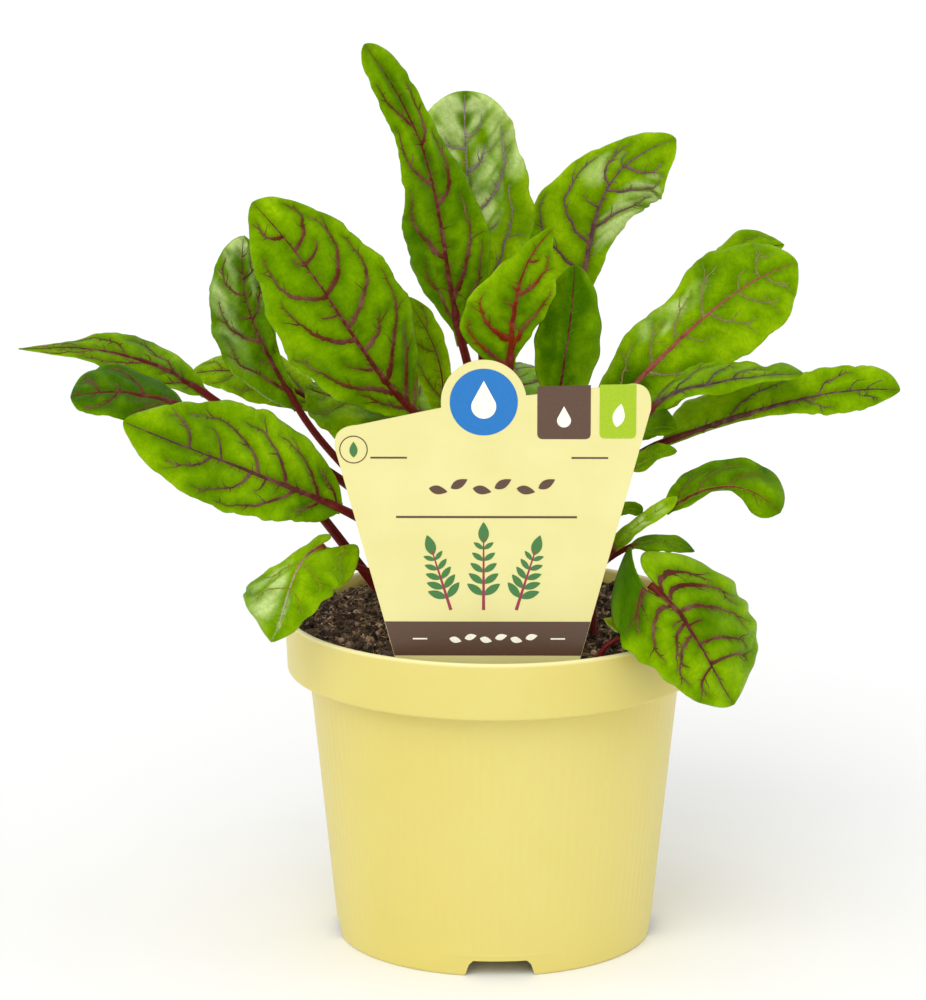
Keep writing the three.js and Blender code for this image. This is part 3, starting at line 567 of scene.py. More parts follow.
def flesh_material():
    """Stalks and veins: the tint of each point, with fine streaks."""
    flesh = Shader("sorrel_stalk", Specular_IOR_Level=0.22, Specular_Tint=(1.0, 0.6, 0.4, 1.0))
    fine = flesh.noise(1.6, 3.0, flesh.read("flat", "Vector"))
    streaks = flesh.ramp(fine, [(0.3, grey(0.74)), (0.7, grey(1.25))])
    colour = flesh.blend("MULTIPLY", 1.0, flesh.read("tint", "Color"), streaks)
    return flesh.finish(colour, 0.36, fine, 0.0001, 0.4)


# ---------------------------------------------------------------- leaf: form shared with the solids


def bezier(points, t):
    a, b, c, d = points
    t = np.asarray(t, float)[..., None]
    s = 1 - t
    return a * s**3 + 3 * b * s * s * t + 3 * c * s * t * t + d * t**3


def bezier_direction(points, t):
    a, b, c, d = points
    t = np.asarray(t, float)[..., None]
    s = 1 - t
    return unit((b - a) * s * s + 2 * (c - b) * s * t + (d - c) * t * t)


def curve_through(points):
    """Bezier points of the curve through four points that lie a third of the way apart."""
    a, b, c, d = (np.array(point, float) for point in points)
    return a, (-5 * a + 18 * b - 9 * c + 2 * d) / 6, (2 * a - 9 * b + 18 * c - 5 * d) / 6, d


def soil_top(x, y):
    """Height of the solid's soil."""
    rise = 1 - (x * x + y * y) / POT["collar_foot"] ** 2
    lumps = np.sin(x / 4.1 + y / 9) + np.sin(y / 4.7 - x / 7 + 1) + np.sin((x + y) / 3.3 + 2)
    return SOIL["edge"] + (SOIL["middle"] - SOIL["edge"]) * rise + SOIL["lump"] * lumps * 0.5


class Leaf:
    """One leaf's formulas, and its fine blade as grids of points.

    t runs along the rib from 0 to 1, and s across from the left margin (-1) to the right one (1).
    x and y are millimetres across and along the rib of the leaf laid flat.
    """

    def __init__(self, number, row):
        self.number = number
        self.name = f"leaf_{number:02d}"
        self.row = {**PLAIN, **row}
        self.curve = curve_through(self.row["rib"])
        self.random = np.random.default_rng(1000 + number)
        self.fine_t = np.linspace(0, 1, 400)
        steps = np.linalg.norm(np.diff(bezier(self.curve, self.fine_t), axis=0), axis=1)
        self.fine_y = np.concatenate([[0], np.cumsum(steps)])
        self.length = self.fine_y[-1]
        self.fine_width = {side: self.half_width(self.fine_t, side) for side in (-1, 1)}
        self.veins = vein_paths(self)
        self.build_grid()

    def y_at(self, t):
        return np.interp(t, self.fine_t, self.fine_y)

    def t_at(self, y):
        return np.interp(y, self.fine_y, self.fine_t)

    def frame(self, t):
        """Directions along the rib, to the blade's right, and out of its upper side."""
        along = bezier_direction(self.curve, t)
        face = np.array(self.row["face"], float)
        out = unit(face - along * (along @ face)[..., None])
        turn = (math.radians(self.row["twist"]) * (np.asarray(t) - 0.5))[..., None]
        out = out * np.cos(turn) + np.cross(along, out) * np.sin(turn)
        return along, unit(np.cross(along, out)), out

    def rib_radius(self, t):
        return self.row["stem"] * (1 - RIB_TAPER * np.minimum(1, t / RIB_END))

    def half_width(self, t, side):
        """Half width through the four given ones, closed at both ends, with crenate margins."""
        given = self.row["left"] if side < 0 else self.row["right"]
        base, tip = self.row["ends"]
        t = np.clip(t, 1e-6, 1 - 1e-6)
        total = np.zeros_like(t)
        for at, width in zip(WIDTH_AT, given):
            weight = width / (at**base * (1 - at) ** tip)
            for other in WIDTH_AT:
                if other != at:
                    weight = weight * (t - other) / (at - other)
            total += weight
        total = total * t**base * (1 - t) ** tip
        phase = self.row["wave"][2]
        total = total * (1 + 0.03 * np.sin(2 * math.pi * (5 * t + phase) + side))
        for dent_side, place, depth, half in self.row["dents"]:
            if dent_side == side:
                total = total - depth * np.exp(-(((t - place) / half) ** 2))
        least = (self.rib_radius(t) + 0.35) * np.sqrt(1 - t) + 0.12
        teeth = self.crenation(t, side) * np.minimum(1, total / 5) * (1 - self.row["smooth"])
        return np.maximum(total + teeth, least)

    def crenation(self, t, side):
        """Low scallops and fine teeth of the margin."""
        y = t * self.length
        seed = self.number * 2 + side
        drift = 0.6 * noise(y / 13, 0, seed)
        scallops = np.abs(np.sin(math.pi * (y / 6.5 + drift + seed))) ** 0.6 - 0.72
        return 0.34 * scallops + 0.24 * noise(y / 1.9, 5, seed)

    def width_at(self, t, side):
        left = np.interp(t, self.fine_t, self.fine_width[-1])
        right = np.interp(t, self.fine_t, self.fine_width[1])
        return np.where(side < 0, left, right)

    def surface(self, t, s):
        """Points of the middle surface."""
        along, right, out = self.frame(t)
        side = side_of(s)
        share = np.abs(s)
        width = self.width_at(t, side)
        height, count, phase = self.row["wave"]
        bend = np.radians(self.row["fold"] + self.row["curl"] * share)
        swing = np.sin(math.pi * t) * np.sin(2 * math.pi * (count * t + phase) + side)
        ruffle = self.ruffle(t, side) * share**3
        sideways = side * share * width * np.cos(bend)
        outward = share * width * np.sin(bend) + height * share**2 * swing + ruffle
        back, aside = np.moveaxis(np.array(self.row["lobes"], float)[(side > 0).astype(int)], -1, 0)
        slot = self.rib_radius(t) + 0.3
        beyond = np.clip((share * width - slot) / (width - slot), 0, 1)
        lobe = np.sqrt(np.sin(math.pi * beyond)) * (1 - t) ** 6
        point = bezier(self.curve, t)
        across = right * (sideways + aside * lobe**2)[..., None]
        return point + across + out * outward[..., None] - along * (back * lobe)[..., None]

    def ruffle(self, t, side):
        """Waves of the margin, lower where the blade is narrow."""
        y = t * self.length
        seed = self.number * 2 + side
        wide = np.minimum(1, self.width_at(t, side) / 10)
        return wide * (0.75 * noise(y / 6, 2, seed) + 0.3 * noise(y / 2.6, 3, seed))

    def build_grid(self):
        """Upper and lower grids of points, with the relief that the veins leave between them."""
        rows = max(14, round(self.length / CELL))
        even = np.linspace(0, 1, rows + 1)
        self.t = 0.45 * even + 0.55 * (0.5 - 0.5 * np.cos(math.pi * even))
        widest = max(*self.row["left"], *self.row["right"])
        self.columns = 2 * max(5, round(widest / CELL))
        t, s = np.meshgrid(self.t, np.linspace(-1, 1, self.columns + 1), indexing="ij")
        middle = self.surface(t, s)
        self.normal = unit(np.cross(np.gradient(middle, axis=1), np.gradient(middle, axis=0)))
        self.x = s * self.width_at(t, side_of(s))
        self.y = self.y_at(t)
        self.edge = 1 - np.abs(s)
        from_vein, self.presence = vein_nearness(self, t)
        self.cushion = 1 - np.exp(-((from_vein / CUSHION_RISE) ** 2))
        taper = np.clip(self.edge * 6, 0, 1) * np.clip(t * 12, 0, 1) * np.clip((1 - t) * 12, 0, 1)
        grain = 0.12 * noise(self.x / 1.7, self.y / 1.7, self.number)
        swell = 0.35 * noise(self.x / 6, self.y / 6, self.number + 40)
        relief = (self.row["pucker"] * (self.cushion - 0.5) + grain + swell) * taper
        half = BLADE_THICK / 2 * (0.35 + 0.65 * np.clip(self.edge * 8, 0, 1))
        self.upper = middle + self.normal * (relief + half)[..., None]
        self.lower = middle + self.normal * (relief - half)[..., None]

    def sample(self, x, y, grid):
        """A grid's value at a place of the flat leaf."""
        t = self.t_at(y)
        s = np.clip(x / self.width_at(t, side_of(x)), -0.985, 0.985)
        i = np.clip(np.interp(t, self.t, np.arange(len(self.t))), 0, len(self.t) - 1.001)
        j = np.clip((s + 1) / 2 * self.columns, 0, self.columns - 0.001)
        i0, j0 = np.floor(i).astype(int), np.floor(j).astype(int)
        u, v = (i - i0)[..., None], (j - j0)[..., None]
        low = grid[i0, j0] * (1 - v) + grid[i0, j0 + 1] * v
        high = grid[i0 + 1, j0] * (1 - v) + grid[i0 + 1, j0 + 1] * v
        return low * (1 - u) + high * u


# ---------------------------------------------------------------- leaf: veins


def side_vein(leaf, side, start, end, reach):
    """Flat path of a side vein that leaves the rib and bends towards the tip, with kinks."""
    width = float(leaf.width_at((start + end) / 2, side))
    length = math.hypot((end - start) * leaf.length, reach * width)
    q = np.linspace(0, 1, max(5, round(length / VEIN_STEP)))
    t = start + (end - start) * q**1.35
    share = reach * (1 - (1 - q) ** 1.9)
    seed = leaf.number * 7 + round(start * 100) + side
    kinks = 0.55 * noise(q * length / 4.5, 0, seed) + 0.28 * noise(q * length / 1.7, 9, seed)
    x = side * (share * leaf.width_at(t, side) + kinks * np.sin(math.pi * q) ** 0.5)
    return np.stack([x, leaf.y_at(t)], axis=1)


def spur(path, at, turn, length, random):
    """A short branch that leaves a path at a place along it."""
    index = min(len(path) - 2, max(1, round(at * (len(path) - 1))))
    heading = path[index + 1] - path[index - 1]
    angle = math.atan2(heading[1], heading[0]) + turn
    count = max(2, round(length / VEIN_STEP))
    bend = random.uniform(-0.7, 0.7)
    points = [path[index]]
    for step in range(count):
        turned = angle + bend * step / count + random.uniform(-0.35, 0.35)
        points.append(points[-1] + length / count * np.array([math.cos(turned), math.sin(turned)]))
    return np.array(points)


def inside(leaf, path):
    """Cuts a path where it comes near the margin."""
    x, y = path.T
    good = (np.abs(x) < 0.93 * leaf.width_at(leaf.t_at(y), side_of(x))) & (y < 0.98 * leaf.length)
    return path if good.all() else path[:np.argmin(good)]


def usual_veins(leaf, side):
    """A layout for a leaf that has none of its own: long veins with a short one beyond each."""
    random = leaf.random
    count = int(np.clip(round(leaf.length / 17), 1, 5))
    found = []
    for k in range(count):
        start = 0.02 + 0.84 * (k + (0.25 if side < 0 else 0.6)) / count + random.uniform(-0.02, 0.02)
        rise = min(0.34, 0.8 * (0.97 - start)) * random.uniform(0.8, 1.1)
        found.append((start, start + rise, random.uniform(0.66, 0.84)))
        middle = start + 0.42 / count
        found.append((middle, middle + 0.05, random.uniform(0.2, 0.36)))
    return [vein for vein in found if leaf.width_at(vein[0], side) > 3]


def vein_paths(leaf):
    """Side veins with their branches and thorns, as (flat path, half width at its start, at its end)."""
    found = []

    def keep(path, wide, narrow):
        path = inside(leaf, path)
        if len(path) >= 3:
            found.append((path, wide, narrow))
        return path

    given = VEINS.get(leaf.number)
    for side, name in ((-1, "left"), (1, "right")):
        for start, end, reach in given[name] if given else usual_veins(leaf, side):
            full = leaf.row["bold"] * min(1.0, 0.45 + float(leaf.width_at((start + end) / 2, side)) / 24)
            path = side_vein(leaf, side, start, end, reach)
            if end - start < SHORT_RISE and reach < SHORT_REACH:
                keep(path, 0.4 * full, 0.16)
                continue
            path = keep(path, 0.64 * full * (1.08 - 0.35 * start), 0.24)
            if len(path) >= 8:
                add_branches(path, side, leaf.random, keep)
    add_rib_thorns(leaf, leaf.random, keep)
    return found


def add_rib_thorns(leaf, random, keep):
    """Short thorns along both sides of the midrib."""
    y = np.linspace(0.03, 0.9, round(leaf.length / VEIN_STEP)) * leaf.length
    rib = np.stack([0 * y, y], axis=1)
    for at in np.arange(0.06, 0.95, 3.4 / leaf.length):
        radius = leaf.rib_radius(at)
        turn = random.choice([-1, 1]) * random.uniform(0.7, 1.3)
        place = at + random.uniform(-0.01, 0.01)
        thorn = spur(rib, place, turn, radius + random.uniform(0.9, 2.6), random)
        keep(thorn, 0.34 * radius + 0.08, 0.07)


def add_branches(path, side, random, keep):
    """A fork near the end of a long vein, a twig on its other side, and thorns along both sides."""
    at, turn = random.uniform(0.6, 0.78), -side * random.uniform(0.5, 0.8)
    keep(spur(path, at, turn, 5.5, random), 0.3, 0.12)
    at, turn = random.uniform(0.3, 0.55), side * random.uniform(0.6, 1.1)
    keep(spur(path, at, turn, random.uniform(2.5, 5), random), 0.28, 0.1)
    length = np.linalg.norm(np.diff(path, axis=0), axis=1).sum()
    for at in np.arange(0.1, 0.97, 3.0 / length):
        turn = random.choice([-1, 1]) * random.uniform(0.8, 1.5)
        keep(spur(path, at, turn, random.uniform(0.9, 2.0), random), 0.24, 0.06)


def vein_nearness(leaf, t):
    """For each place of the grid: distance to the nearest wide vein, and how much vein is about it."""
    x, y = leaf.x, leaf.y
    radius = leaf.rib_radius(t)
    distance = np.abs(x)
    presence = np.exp(-((np.maximum(0, distance - radius) / 0.6) ** 2)) * np.clip(radius / 0.7, 0, 1)
    for path, wide, narrow in leaf.veins:
        if wide < WIDE_VEIN:
            continue
        for k in range(len(path) - 1):
            start, step = path[k], path[k + 1] - path[k]
            along = ((x - start[0]) * step[0] + (y - start[1]) * step[1]) / max(1e-9, step @ step)
            along = np.clip(along, 0, 1)
            away = np.hypot(x - start[0] - along * step[0], y - start[1] - along * step[1])
            width = wide + (narrow - wide) * (k + along) / len(path)
            distance = np.minimum(distance, away)
            near = np.exp(-((np.maximum(0, away - 0.7 * width) / 0.5) ** 2)) * np.minimum(1, width / 0.4)
            presence = np.maximum(presence, near)
    return distance, presence


RING = (  # across in half widths, upper (1) or lower (-1) face, height above it in half widths and in mm
    (-1.0, 1, 0.0, -0.07), (-0.5, 1, 0.16, 0.03), (0.5, 1, 0.16, 0.03), (1.0, 1, 0.0, -0.07),
    (1.0, -1, 0.0, -0.07), (0.5, -1, 0.35, 0.03), (-0.5, -1, 0.35, 0.03), (-1.0, -1, 0.0, -0.07),
)


def vein_rings(leaf, path, wide, narrow, seed):
    """Rings of a flattened tube that runs through the blade, with ragged sides and a thin end."""
    step = np.gradient(path, axis=0)
    lateral = unit(np.stack([step[:, 1], -step[:, 0]], axis=1))
    share = np.linspace(0, 1, len(path))
    half = wide + (narrow - wide) * share**0.8
    half[-1] *= 0.35
    place = np.arange(len(path)) * 1.2
    ragged = {side: half * (1 + 0.48 * noise(place, 4 * side, seed)) for side in (-1, 1)}
    rings = []
    for across, face, height, offset in RING:
        x, y = (path + lateral * (ragged[np.sign(across)] * across)[:, None]).T
        point = leaf.sample(x, y, leaf.upper if face > 0 else leaf.lower)
        normal = unit(leaf.sample(x, y, leaf.normal))
        rings.append(point + normal * (face * (half * height + offset))[:, None])
    return np.stack(rings, axis=1)


# ---------------------------------------------------------------- leaf: stalk and midrib


def stalk_curve(leaf):
    """Bezier points of the stalk from the soil up to the blade."""
    x, y = leaf.row["foot"]
    foot = np.array([x, y, soil_top(x, y) + SOIL["clear"]])
    base = bezier(leaf.curve, 0.0)
    reach = np.linalg.norm(base - foot) * 0.36
    lower = foot + unit(np.array([*leaf.row["lean"], 1.0])) * reach
    along, _, out = leaf.frame(0.0)
    tuck = math.radians(leaf.row["tuck"])
    upper = base - (along * math.cos(tuck) + out * math.sin(tuck)) * reach
    return foot, lower, upper, base


def stalk_rings(leaf):
    """Rings of the stalk from under the soil to the blade, on as the midrib to the tip, and their first."""
    curve = stalk_curve(leaf)
    right = leaf.frame(0.0)[1]
    count = max(8, round(np.linalg.norm(curve[3] - curve[0]) / 2.5))
    angles = turns(STALK_SIDES)
    ridges = 1 + 0.05 * np.cos(5 * angles)
    rings = []
    for place in np.linspace(0, 1, count, endpoint=False):
        along = bezier_direction(curve, place)
        side = unit(right - along * (right @ along))
        radius = leaf.row["stem"] * (1.25 - 0.25 * place) * ridges
        rings.append(bezier(curve, place) + np.outer(np.cos(angles) * radius, side)
                     + np.outer(np.sin(angles) * radius, np.cross(side, along)))
    rings.insert(0, rings[0] - [0, 0, HOLE_DEPTH])
    for t in np.linspace(0, MIDRIB_END, max(12, round(leaf.length))):
        rings.append(midrib_ring(leaf, t, angles))
    return np.array(rings), count + 1


def midrib_ring(leaf, t, angles):
    """A ring of the midrib, round at the blade's base and flatter above than below further on."""
    beyond = max(0, (t - RIB_END) / (MIDRIB_END - RIB_END))
    radius = leaf.rib_radius(t) * max(0.3, 1 - 0.7 * beyond)
    flat = min(1, t / 0.12)
    clear = BLADE_THICK / 2 + 0.09
    above = max(radius * (1 - 0.45 * flat), clear)
    middle = (leaf.upper[:, leaf.columns // 2] + leaf.lower[:, leaf.columns // 2]) / 2
    sunk = np.array([np.interp(t, leaf.t, middle[:, k]) for k in range(3)])
    point = bezier(leaf.curve, t) * (1 - flat) + sunk * flat
    _, right, out = leaf.frame(t)
    side = np.sign(np.cos(angles))
    ragged = radius * (1 + flat * 0.3 * noise(leaf.y_at(t) / 1.3, side * 3, leaf.number))
    rise = np.where(np.sin(angles) > 0, above, max(radius, clear))
    across = np.outer(np.cos(angles) * ragged, right)
    return point + across + np.outer(np.sin(angles) * rise, out)


def stalk_tints(leaf, rings, first_rib):
    """Colours of a stalk's rings: red, then on the blade the veins' colours, with flecks and green sides."""
    rows = len(rings)
    low = np.clip(1 - (rings[..., 2] - soil_top(*leaf.row["foot"])) / RED_FOOT, 0, 1)
    along_rib = np.clip((np.arange(rows) - first_rib) / (rows - first_rib), 0, 1)[:, None]
    on_blade = np.clip(along_rib * 6, 0, 1)
    tints = mix(STALK_RED, STALK_LOW, low * 0.8)
    tints = mix(tints, vein_colour(leaf, along_rib), on_blade)
    flecks = noise(rings[..., 0] / 1.1 + 7, rings[..., 2] / 1.1, leaf.number)
    tints = mix(tints, INKS["ash"], np.clip(0.5 * flecks, 0, 0.4) * on_blade)
    tints = tints * (1 - 0.45 * np.clip(-flecks, 0, 1) * on_blade)[..., None]
    beside = np.abs(np.cos(turns(STALK_SIDES)))
    return mix(tints, green(leaf, 0.0), np.clip((beside - leaf.row["core"]) * 6, 0, 1) * on_blade)


def add_stalk(leaf):
    """The stalk, the midrib and the side veins are one piece."""
    rings, first_rib = stalk_rings(leaf)
    parts = [tube(rings)]
    tints = [stalk_tints(leaf, rings, first_rib)]
    for number, (path, wide, narrow) in enumerate(leaf.veins):
        parts.append(tube(vein_rings(leaf, path, wide, narrow, leaf.number * 100 + number)))
        tints.append(side_vein_tints(leaf, path, wide))
    put(f"{leaf.name}_stalk_and_veins", *joined(parts), FLESH, "stalk_red", [f"{leaf.name}_stalk"],
        rows_of(tints))


def vein_colour(leaf, share):
    """Colour of the veins at a share of the leaf's length."""
    first, last = (INKS[name] for name in leaf.row["ink"])
    return mix(first, last, share)


def side_vein_tints(leaf, path, wide):
    """Colours of a side vein's rings: darker and greyer stretches, sides and thorns nearer to the green."""
    x, y = path.T
    patchy = noise(x / 3, y / 3, leaf.number)
    if leaf.row["twig"]:
        tints = np.tile(INKS[leaf.row["twig"]], (len(path), 1))
    else:
        tints = vein_colour(leaf, np.clip(y / leaf.length, 0, 1))
    tints = mix(tints, INKS["ash"], np.clip(0.16 + 0.4 * patchy, 0, 1))
    tints = tints * (1 - 0.4 * np.clip(noise(x / 2 + 9, y / 2, leaf.number), 0, 1))[:, None]
    q = np.linspace(0, 1, len(path))
    tints = mix(tints, green(leaf, 0.0), leaf.row["faint"] * 0.7 + 0.3 * q**3)
    rings = np.repeat(tints[:, None], len(RING), axis=1)
    sides = np.array([abs(across) for across, *_ in RING]) == 1
    rings[:, sides] = mix(rings[:, sides], green(leaf, -0.5), 0.35 if wide > WIDE_VEIN else 0.2)
    return rings


# ---------------------------------------------------------------- leaf: blade


def green(leaf, change):
    """The leaf's green, darker or brighter by a change."""
    level = np.clip(leaf.row["tone"] * 0.5 + change, -1, 1)
    bright = mix(GREENS[1], GREENS[2], np.maximum(0, level))
    return np.where(np.asarray(level)[..., None] < 0, mix(GREENS[1], GREENS[0], -level), bright)


def spots(leaf, places):
    """Soft oval spots on the blade: place along, place across, half sizes and strength of each."""
    t = leaf.t_at(leaf.y)
    s = leaf.x / leaf.width_at(t, side_of(leaf.x))
    total = np.zeros_like(t)
    for place, across, long, wide, strength in places:
        away = np.hypot((t - place) / long, (s - across) / wide)
        total = np.maximum(total, strength * np.clip(1.6 - 1.6 * away**2, 0, 1))
    return total


def painted_highlight_share(leaf):
    """How pale each place of the upper face is with painted highlights that stand for gloss, in soft patches
    with fine streaks, brighter on the cushions.
    """
    slant = leaf.y - 1.2 * np.abs(leaf.x)
    streaks = 0.45 + 0.75 * noise(slant / 1.6, leaf.x / 7, leaf.number) + 0.5 * (leaf.cushion - 0.55)
    clouds = 0.75 + 0.7 * noise(leaf.x / 4, leaf.y / 5, leaf.number + 7)
    return np.clip(spots(leaf, PAINTED_HIGHLIGHT_SPOTS.get(leaf.number, ())) * (0.35 + streaks) * clouds, 0, 0.9)


def blade_tints(leaf):
    """Colours of the upper and the lower grid, with painted shade, painted light and painted highlights over
    the leaf's own greens.
    """
    patches = noise(leaf.x / 10, leaf.y / 10, leaf.number + 80)
    small = noise(leaf.x / 3, leaf.y / 3, leaf.number + 90)
    # the cushion term is painted shade: darker green in the hollows beside the veins, lighter on the
    # cushions between them
    change = 0.42 * patches + 0.24 * small + 0.48 * (leaf.cushion - 0.66) + 0.3 * np.exp(-leaf.edge * 7)
    # darker and brighter patches: partly the leaf's own green, partly painted shade and painted light
    change = change - spots(leaf, TONE_AND_PAINTED_SHADE.get(leaf.number, ()))
    upper = green(leaf, change)
    # painted highlights: pale patches that stand for the shine of the upper face
    upper = mix(upper, PAINTED_HIGHLIGHT, painted_highlight_share(leaf) * 0.78)
    upper = mix(upper, FRINGE, leaf.presence * (0.42 - 0.3 * leaf.row["faint"]))
    lower = mix(green(leaf, change + 0.2), UNDERSIDE, 0.6)
    lower = mix(lower, FRINGE, 0.35 * leaf.presence)
    return upper, lower


def add_blade(leaf):
    faces = sheet_faces(*leaf.x.shape)
    flat = np.stack([leaf.x, leaf.y, np.full_like(leaf.x, 50.0 * leaf.number)], axis=-1)
    put(f"{leaf.name}_blade_fine", rows_of([leaf.upper, leaf.lower]), faces,
        leaf_material(leaf.name, leaf.row["rough"]), "leaf_green", [f"{leaf.name}_blade"],
        rows_of(blade_tints(leaf)), rows_of([flat, flat]))


# ---------------------------------------------------------------- sprout

SPROUT_FOOT = np.array([28.6, -41.0, 90.0])
SPROUT_BASE = np.array([37.4, -39.0, 98.4])  # of its blade
SPROUT_TIP = np.array([30.2, -40.5, 102.9])
SPROUT_HALF_WIDTH = 1.9


def add_sprout_blade():
    """A pale young leaf that unfolds on the soil at the right of the label."""
    u, v = np.meshgrid(np.linspace(0, 1, 22), np.linspace(-1, 1, 17), indexing="ij")
    out = unit(np.array([0.1, -1.0, 0.5]))
    right = unit(np.cross(unit(SPROUT_TIP - SPROUT_BASE), out))
    half = SPROUT_HALF_WIDTH * np.sin(math.pi * (0.1 + 0.89 * u)) * (1 + 0.08 * np.sin(19 * u + v))
    rise = 0.5 * np.abs(v) * half + 0.6 * np.sin(math.pi * u)
    middle = (SPROUT_BASE + (SPROUT_TIP - SPROUT_BASE) * u[..., None] + right * (half * v)[..., None]
              + out * rise[..., None])
    tints = mix(linear(118, 146, 14), linear(180, 188, 92), np.abs(v) ** 4)
    tints = mix(tints, linear(150, 84, 34), np.exp(-((v / 0.16) ** 2)) * (1 - 0.6 * u))
    put("sprout_blade", rows_of([middle + out * 0.2, middle - out * 0.2]), sheet_faces(*u.shape),
        leaf_material("sprout", 0.36), "leaf_green", tints=rows_of([tints, tints]))


def add_sprout_stem():
    """The sprout's short red stem."""
    curve = (SPROUT_FOOT, SPROUT_FOOT + [0.8, 0.4, 5.2], SPROUT_BASE + [-5.0, -1.6, -1.6],
             SPROUT_BASE + [0.6, -0.6, -0.5])
    s = np.linspace(0, 1, 16)
    up = np.array([0, 1.0, 0])
    side = unit(np.cross(bezier_direction(curve, s), up))
    vertices, faces = tube(rings_about(bezier(curve, s), side, up, 0.85 - 0.35 * s, 10))
    put("sprout_stem", vertices, faces, FLESH, "stalk_red",
        tints=np.tile(linear(112, 24, 30), (len(vertices), 1)))


# ---------------------------------------------------------------- pot


def outer_wall(z):
    """Radius of the body's outer side."""
    slope = (POT["body_top"] - POT["foot"]) / COLLAR_LOW
    return POT["foot"] + slope * z


def inner_wall(z):
    return outer_wall(z) - POT["wall"]


def rounded(outline, steps=5):
    """An outline of (radius, z, rounding) corners, with its corners rounded."""
    points = []
    for k, (radius, z, rounding) in enumerate(outline):
        corner = np.array([radius, z], float)
        if rounding == 0 or k in (0, len(outline) - 1):
            points.append(corner)
            continue
        before = np.array(outline[k - 1][:2], float)
        after = np.array(outline[k + 1][:2], float)
        start = corner + unit(before - corner) * min(rounding, 0.45 * np.linalg.norm(before - corner))
        end = corner + unit(after - corner) * min(rounding, 0.45 * np.linalg.norm(after - corner))
        for u in np.linspace(0, 1, steps):
            points.append(start * (1 - u) ** 2 + corner * 2 * u * (1 - u) + end * u * u)
    return np.array(points)


def pot_outline():
    """Half section of the pot, from the middle of its underside round to the middle of its floor."""
    wall, lift, ledge = POT["wall"], POT["floor_lift"], COLLAR_LOW + POT["wall"]
    ring = POT["foot"] - POT["foot_ring"]
    return rounded([
        (0, lift, 0), (ring, lift, 0.5), (ring, 0, 0.5), (POT["foot"], 0, 0.8),
        (POT["body_top"], COLLAR_LOW, 1.2), (POT["collar_foot"], COLLAR_LOW, 1.1),
        (POT["rim"], POT["height"], 0.9), (POT["rim"] - wall, POT["height"], 0.6),
        (COLLAR_INSIDE, ledge, 0.8), (inner_wall(COLLAR_LOW), ledge, 0.8),
        (inner_wall(POT_FLOOR), POT_FLOOR, 1.0), (0, POT_FLOOR, 0),
    ])


def spread(points, longest):
    """The same outline with long stretches divided."""
    divided = [points[0]]
    for before, after in zip(points, points[1:]):
        parts = max(1, math.ceil(np.linalg.norm(after - before) / longest))
        divided += [before + (after - before) * k / parts for k in range(1, parts + 1)]
    return np.array(divided)


def pot_profile():
    """The outline in short steps, with finer ones on the wall over the moulded line."""
    points = spread(pot_outline(), 4.0)
    radius, z = points.T
    coarse = (radius > POT["foot"]) & (z > LINE_HEIGHT - 3) & (z < LINE_HEIGHT + 1)
    first = np.argmax(coarse)
    fine_z = np.array([5.4, 5.8, 6.2, 6.6, 7.0])
    fine = np.stack([outer_wall(fine_z), fine_z], axis=1)
    return np.concatenate([points[:first], fine, points[first:][~coarse[first:]]])


def pot_surface(radius, z, angle):
    """Radius with the flutes of the body and the thin moulded line over the front notch."""
    body = np.clip((z - 7.5) / 3, 0, 1) * np.clip((COLLAR_LOW - 1.5 - z) / 2, 0, 1)
    outer = radius > inner_wall(z) + 0.6 * POT["wall"]
    flutes = FLUTE_DEPTH * (0.5 + 0.5 * np.cos(FLUTES * angle))
    front = np.abs((angle + math.pi / 2 + math.pi) % (2 * math.pi) - math.pi)
    line = 0.16 * np.exp(-(((z - LINE_HEIGHT) / 0.4) ** 2)) * np.clip((0.38 - front) * 40, 0, 1)
    return radius + np.where(outer, line - flutes * body, 0)


def pot_mesh():
    """The pot before its openings are cut."""
    points = pot_profile()
    inner = points[1:-1]
    radius, angle = np.meshgrid(inner[:, 0], turns(POT_SEGMENTS), indexing="ij")
    z = np.repeat(inner[:, 1:2], POT_SEGMENTS, axis=1)
    radius = pot_surface(radius, z, angle)
    rings = np.stack([radius * np.cos(angle), radius * np.sin(angle), z], axis=-1)
    centres = np.array([[0, 0, points[0][1]], [0, 0, points[-1][1]]])
    return rows_of([rings, centres]), wall_faces(*z.shape) + fan_faces(*z.shape)


def prism(corners, low, high):
    """A prism of (x, y) corners between two heights, as vertices and faces."""
    count = len(corners)
    vertices = [(x, y, low) for x, y in corners] + [(x, y, high) for x, y in corners]
    ends = [tuple(reversed(range(count))), tuple(range(count, 2 * count))]
    return np.array(vertices, float), ends + wall_faces(2, count)


def turned(vertices, angle):
    """Vertices turned about the pot's axis."""
    along, across = math.cos(angle), math.sin(angle)
    return vertices @ np.array([[along, across, 0], [-across, along, 0], [0, 0, 1]])


def notch_cutters():
    """The openings of the foot ring, as prisms that lie across it."""
    half, top = NOTCH["width"] / 2, NOTCH["top_width"] / 2
    height, corner = NOTCH["height"], NOTCH["corner"]
    outline = [(-half, -1), (half, -1), (top, height - corner), (top - corner, height),
               (corner - top, height), (-top, height - corner)]
    vertices, faces = prism(outline, POT["foot"] - 0.75 * NOTCH["reach"], POT["foot"] + 4)
    lying = np.stack([vertices[:, 0], -vertices[:, 2], vertices[:, 1]], axis=1)
    return [(turned(lying, angle + math.radians(NOTCH["turn"])), faces) for angle in turns(NOTCH["count"])]


def drain_cutters():
    """The drain holes: one in the middle, and a ring of them."""
    places = [(0, 0)]
    for k in range(DRAIN["count"]):
        angle = (k + 0.5) * 2 * math.pi / DRAIN["count"]
        places.append((DRAIN["ring"] * math.cos(angle), DRAIN["ring"] * math.sin(angle)))
    radius = DRAIN["radius"]
    parts = []
    for x, y in places:
        corners = [(x + radius * math.cos(a), y + radius * math.sin(a)) for a in turns(40)]
        parts.append(prism(corners, POT["floor_lift"] - 1, POT_FLOOR + 1))
    return parts


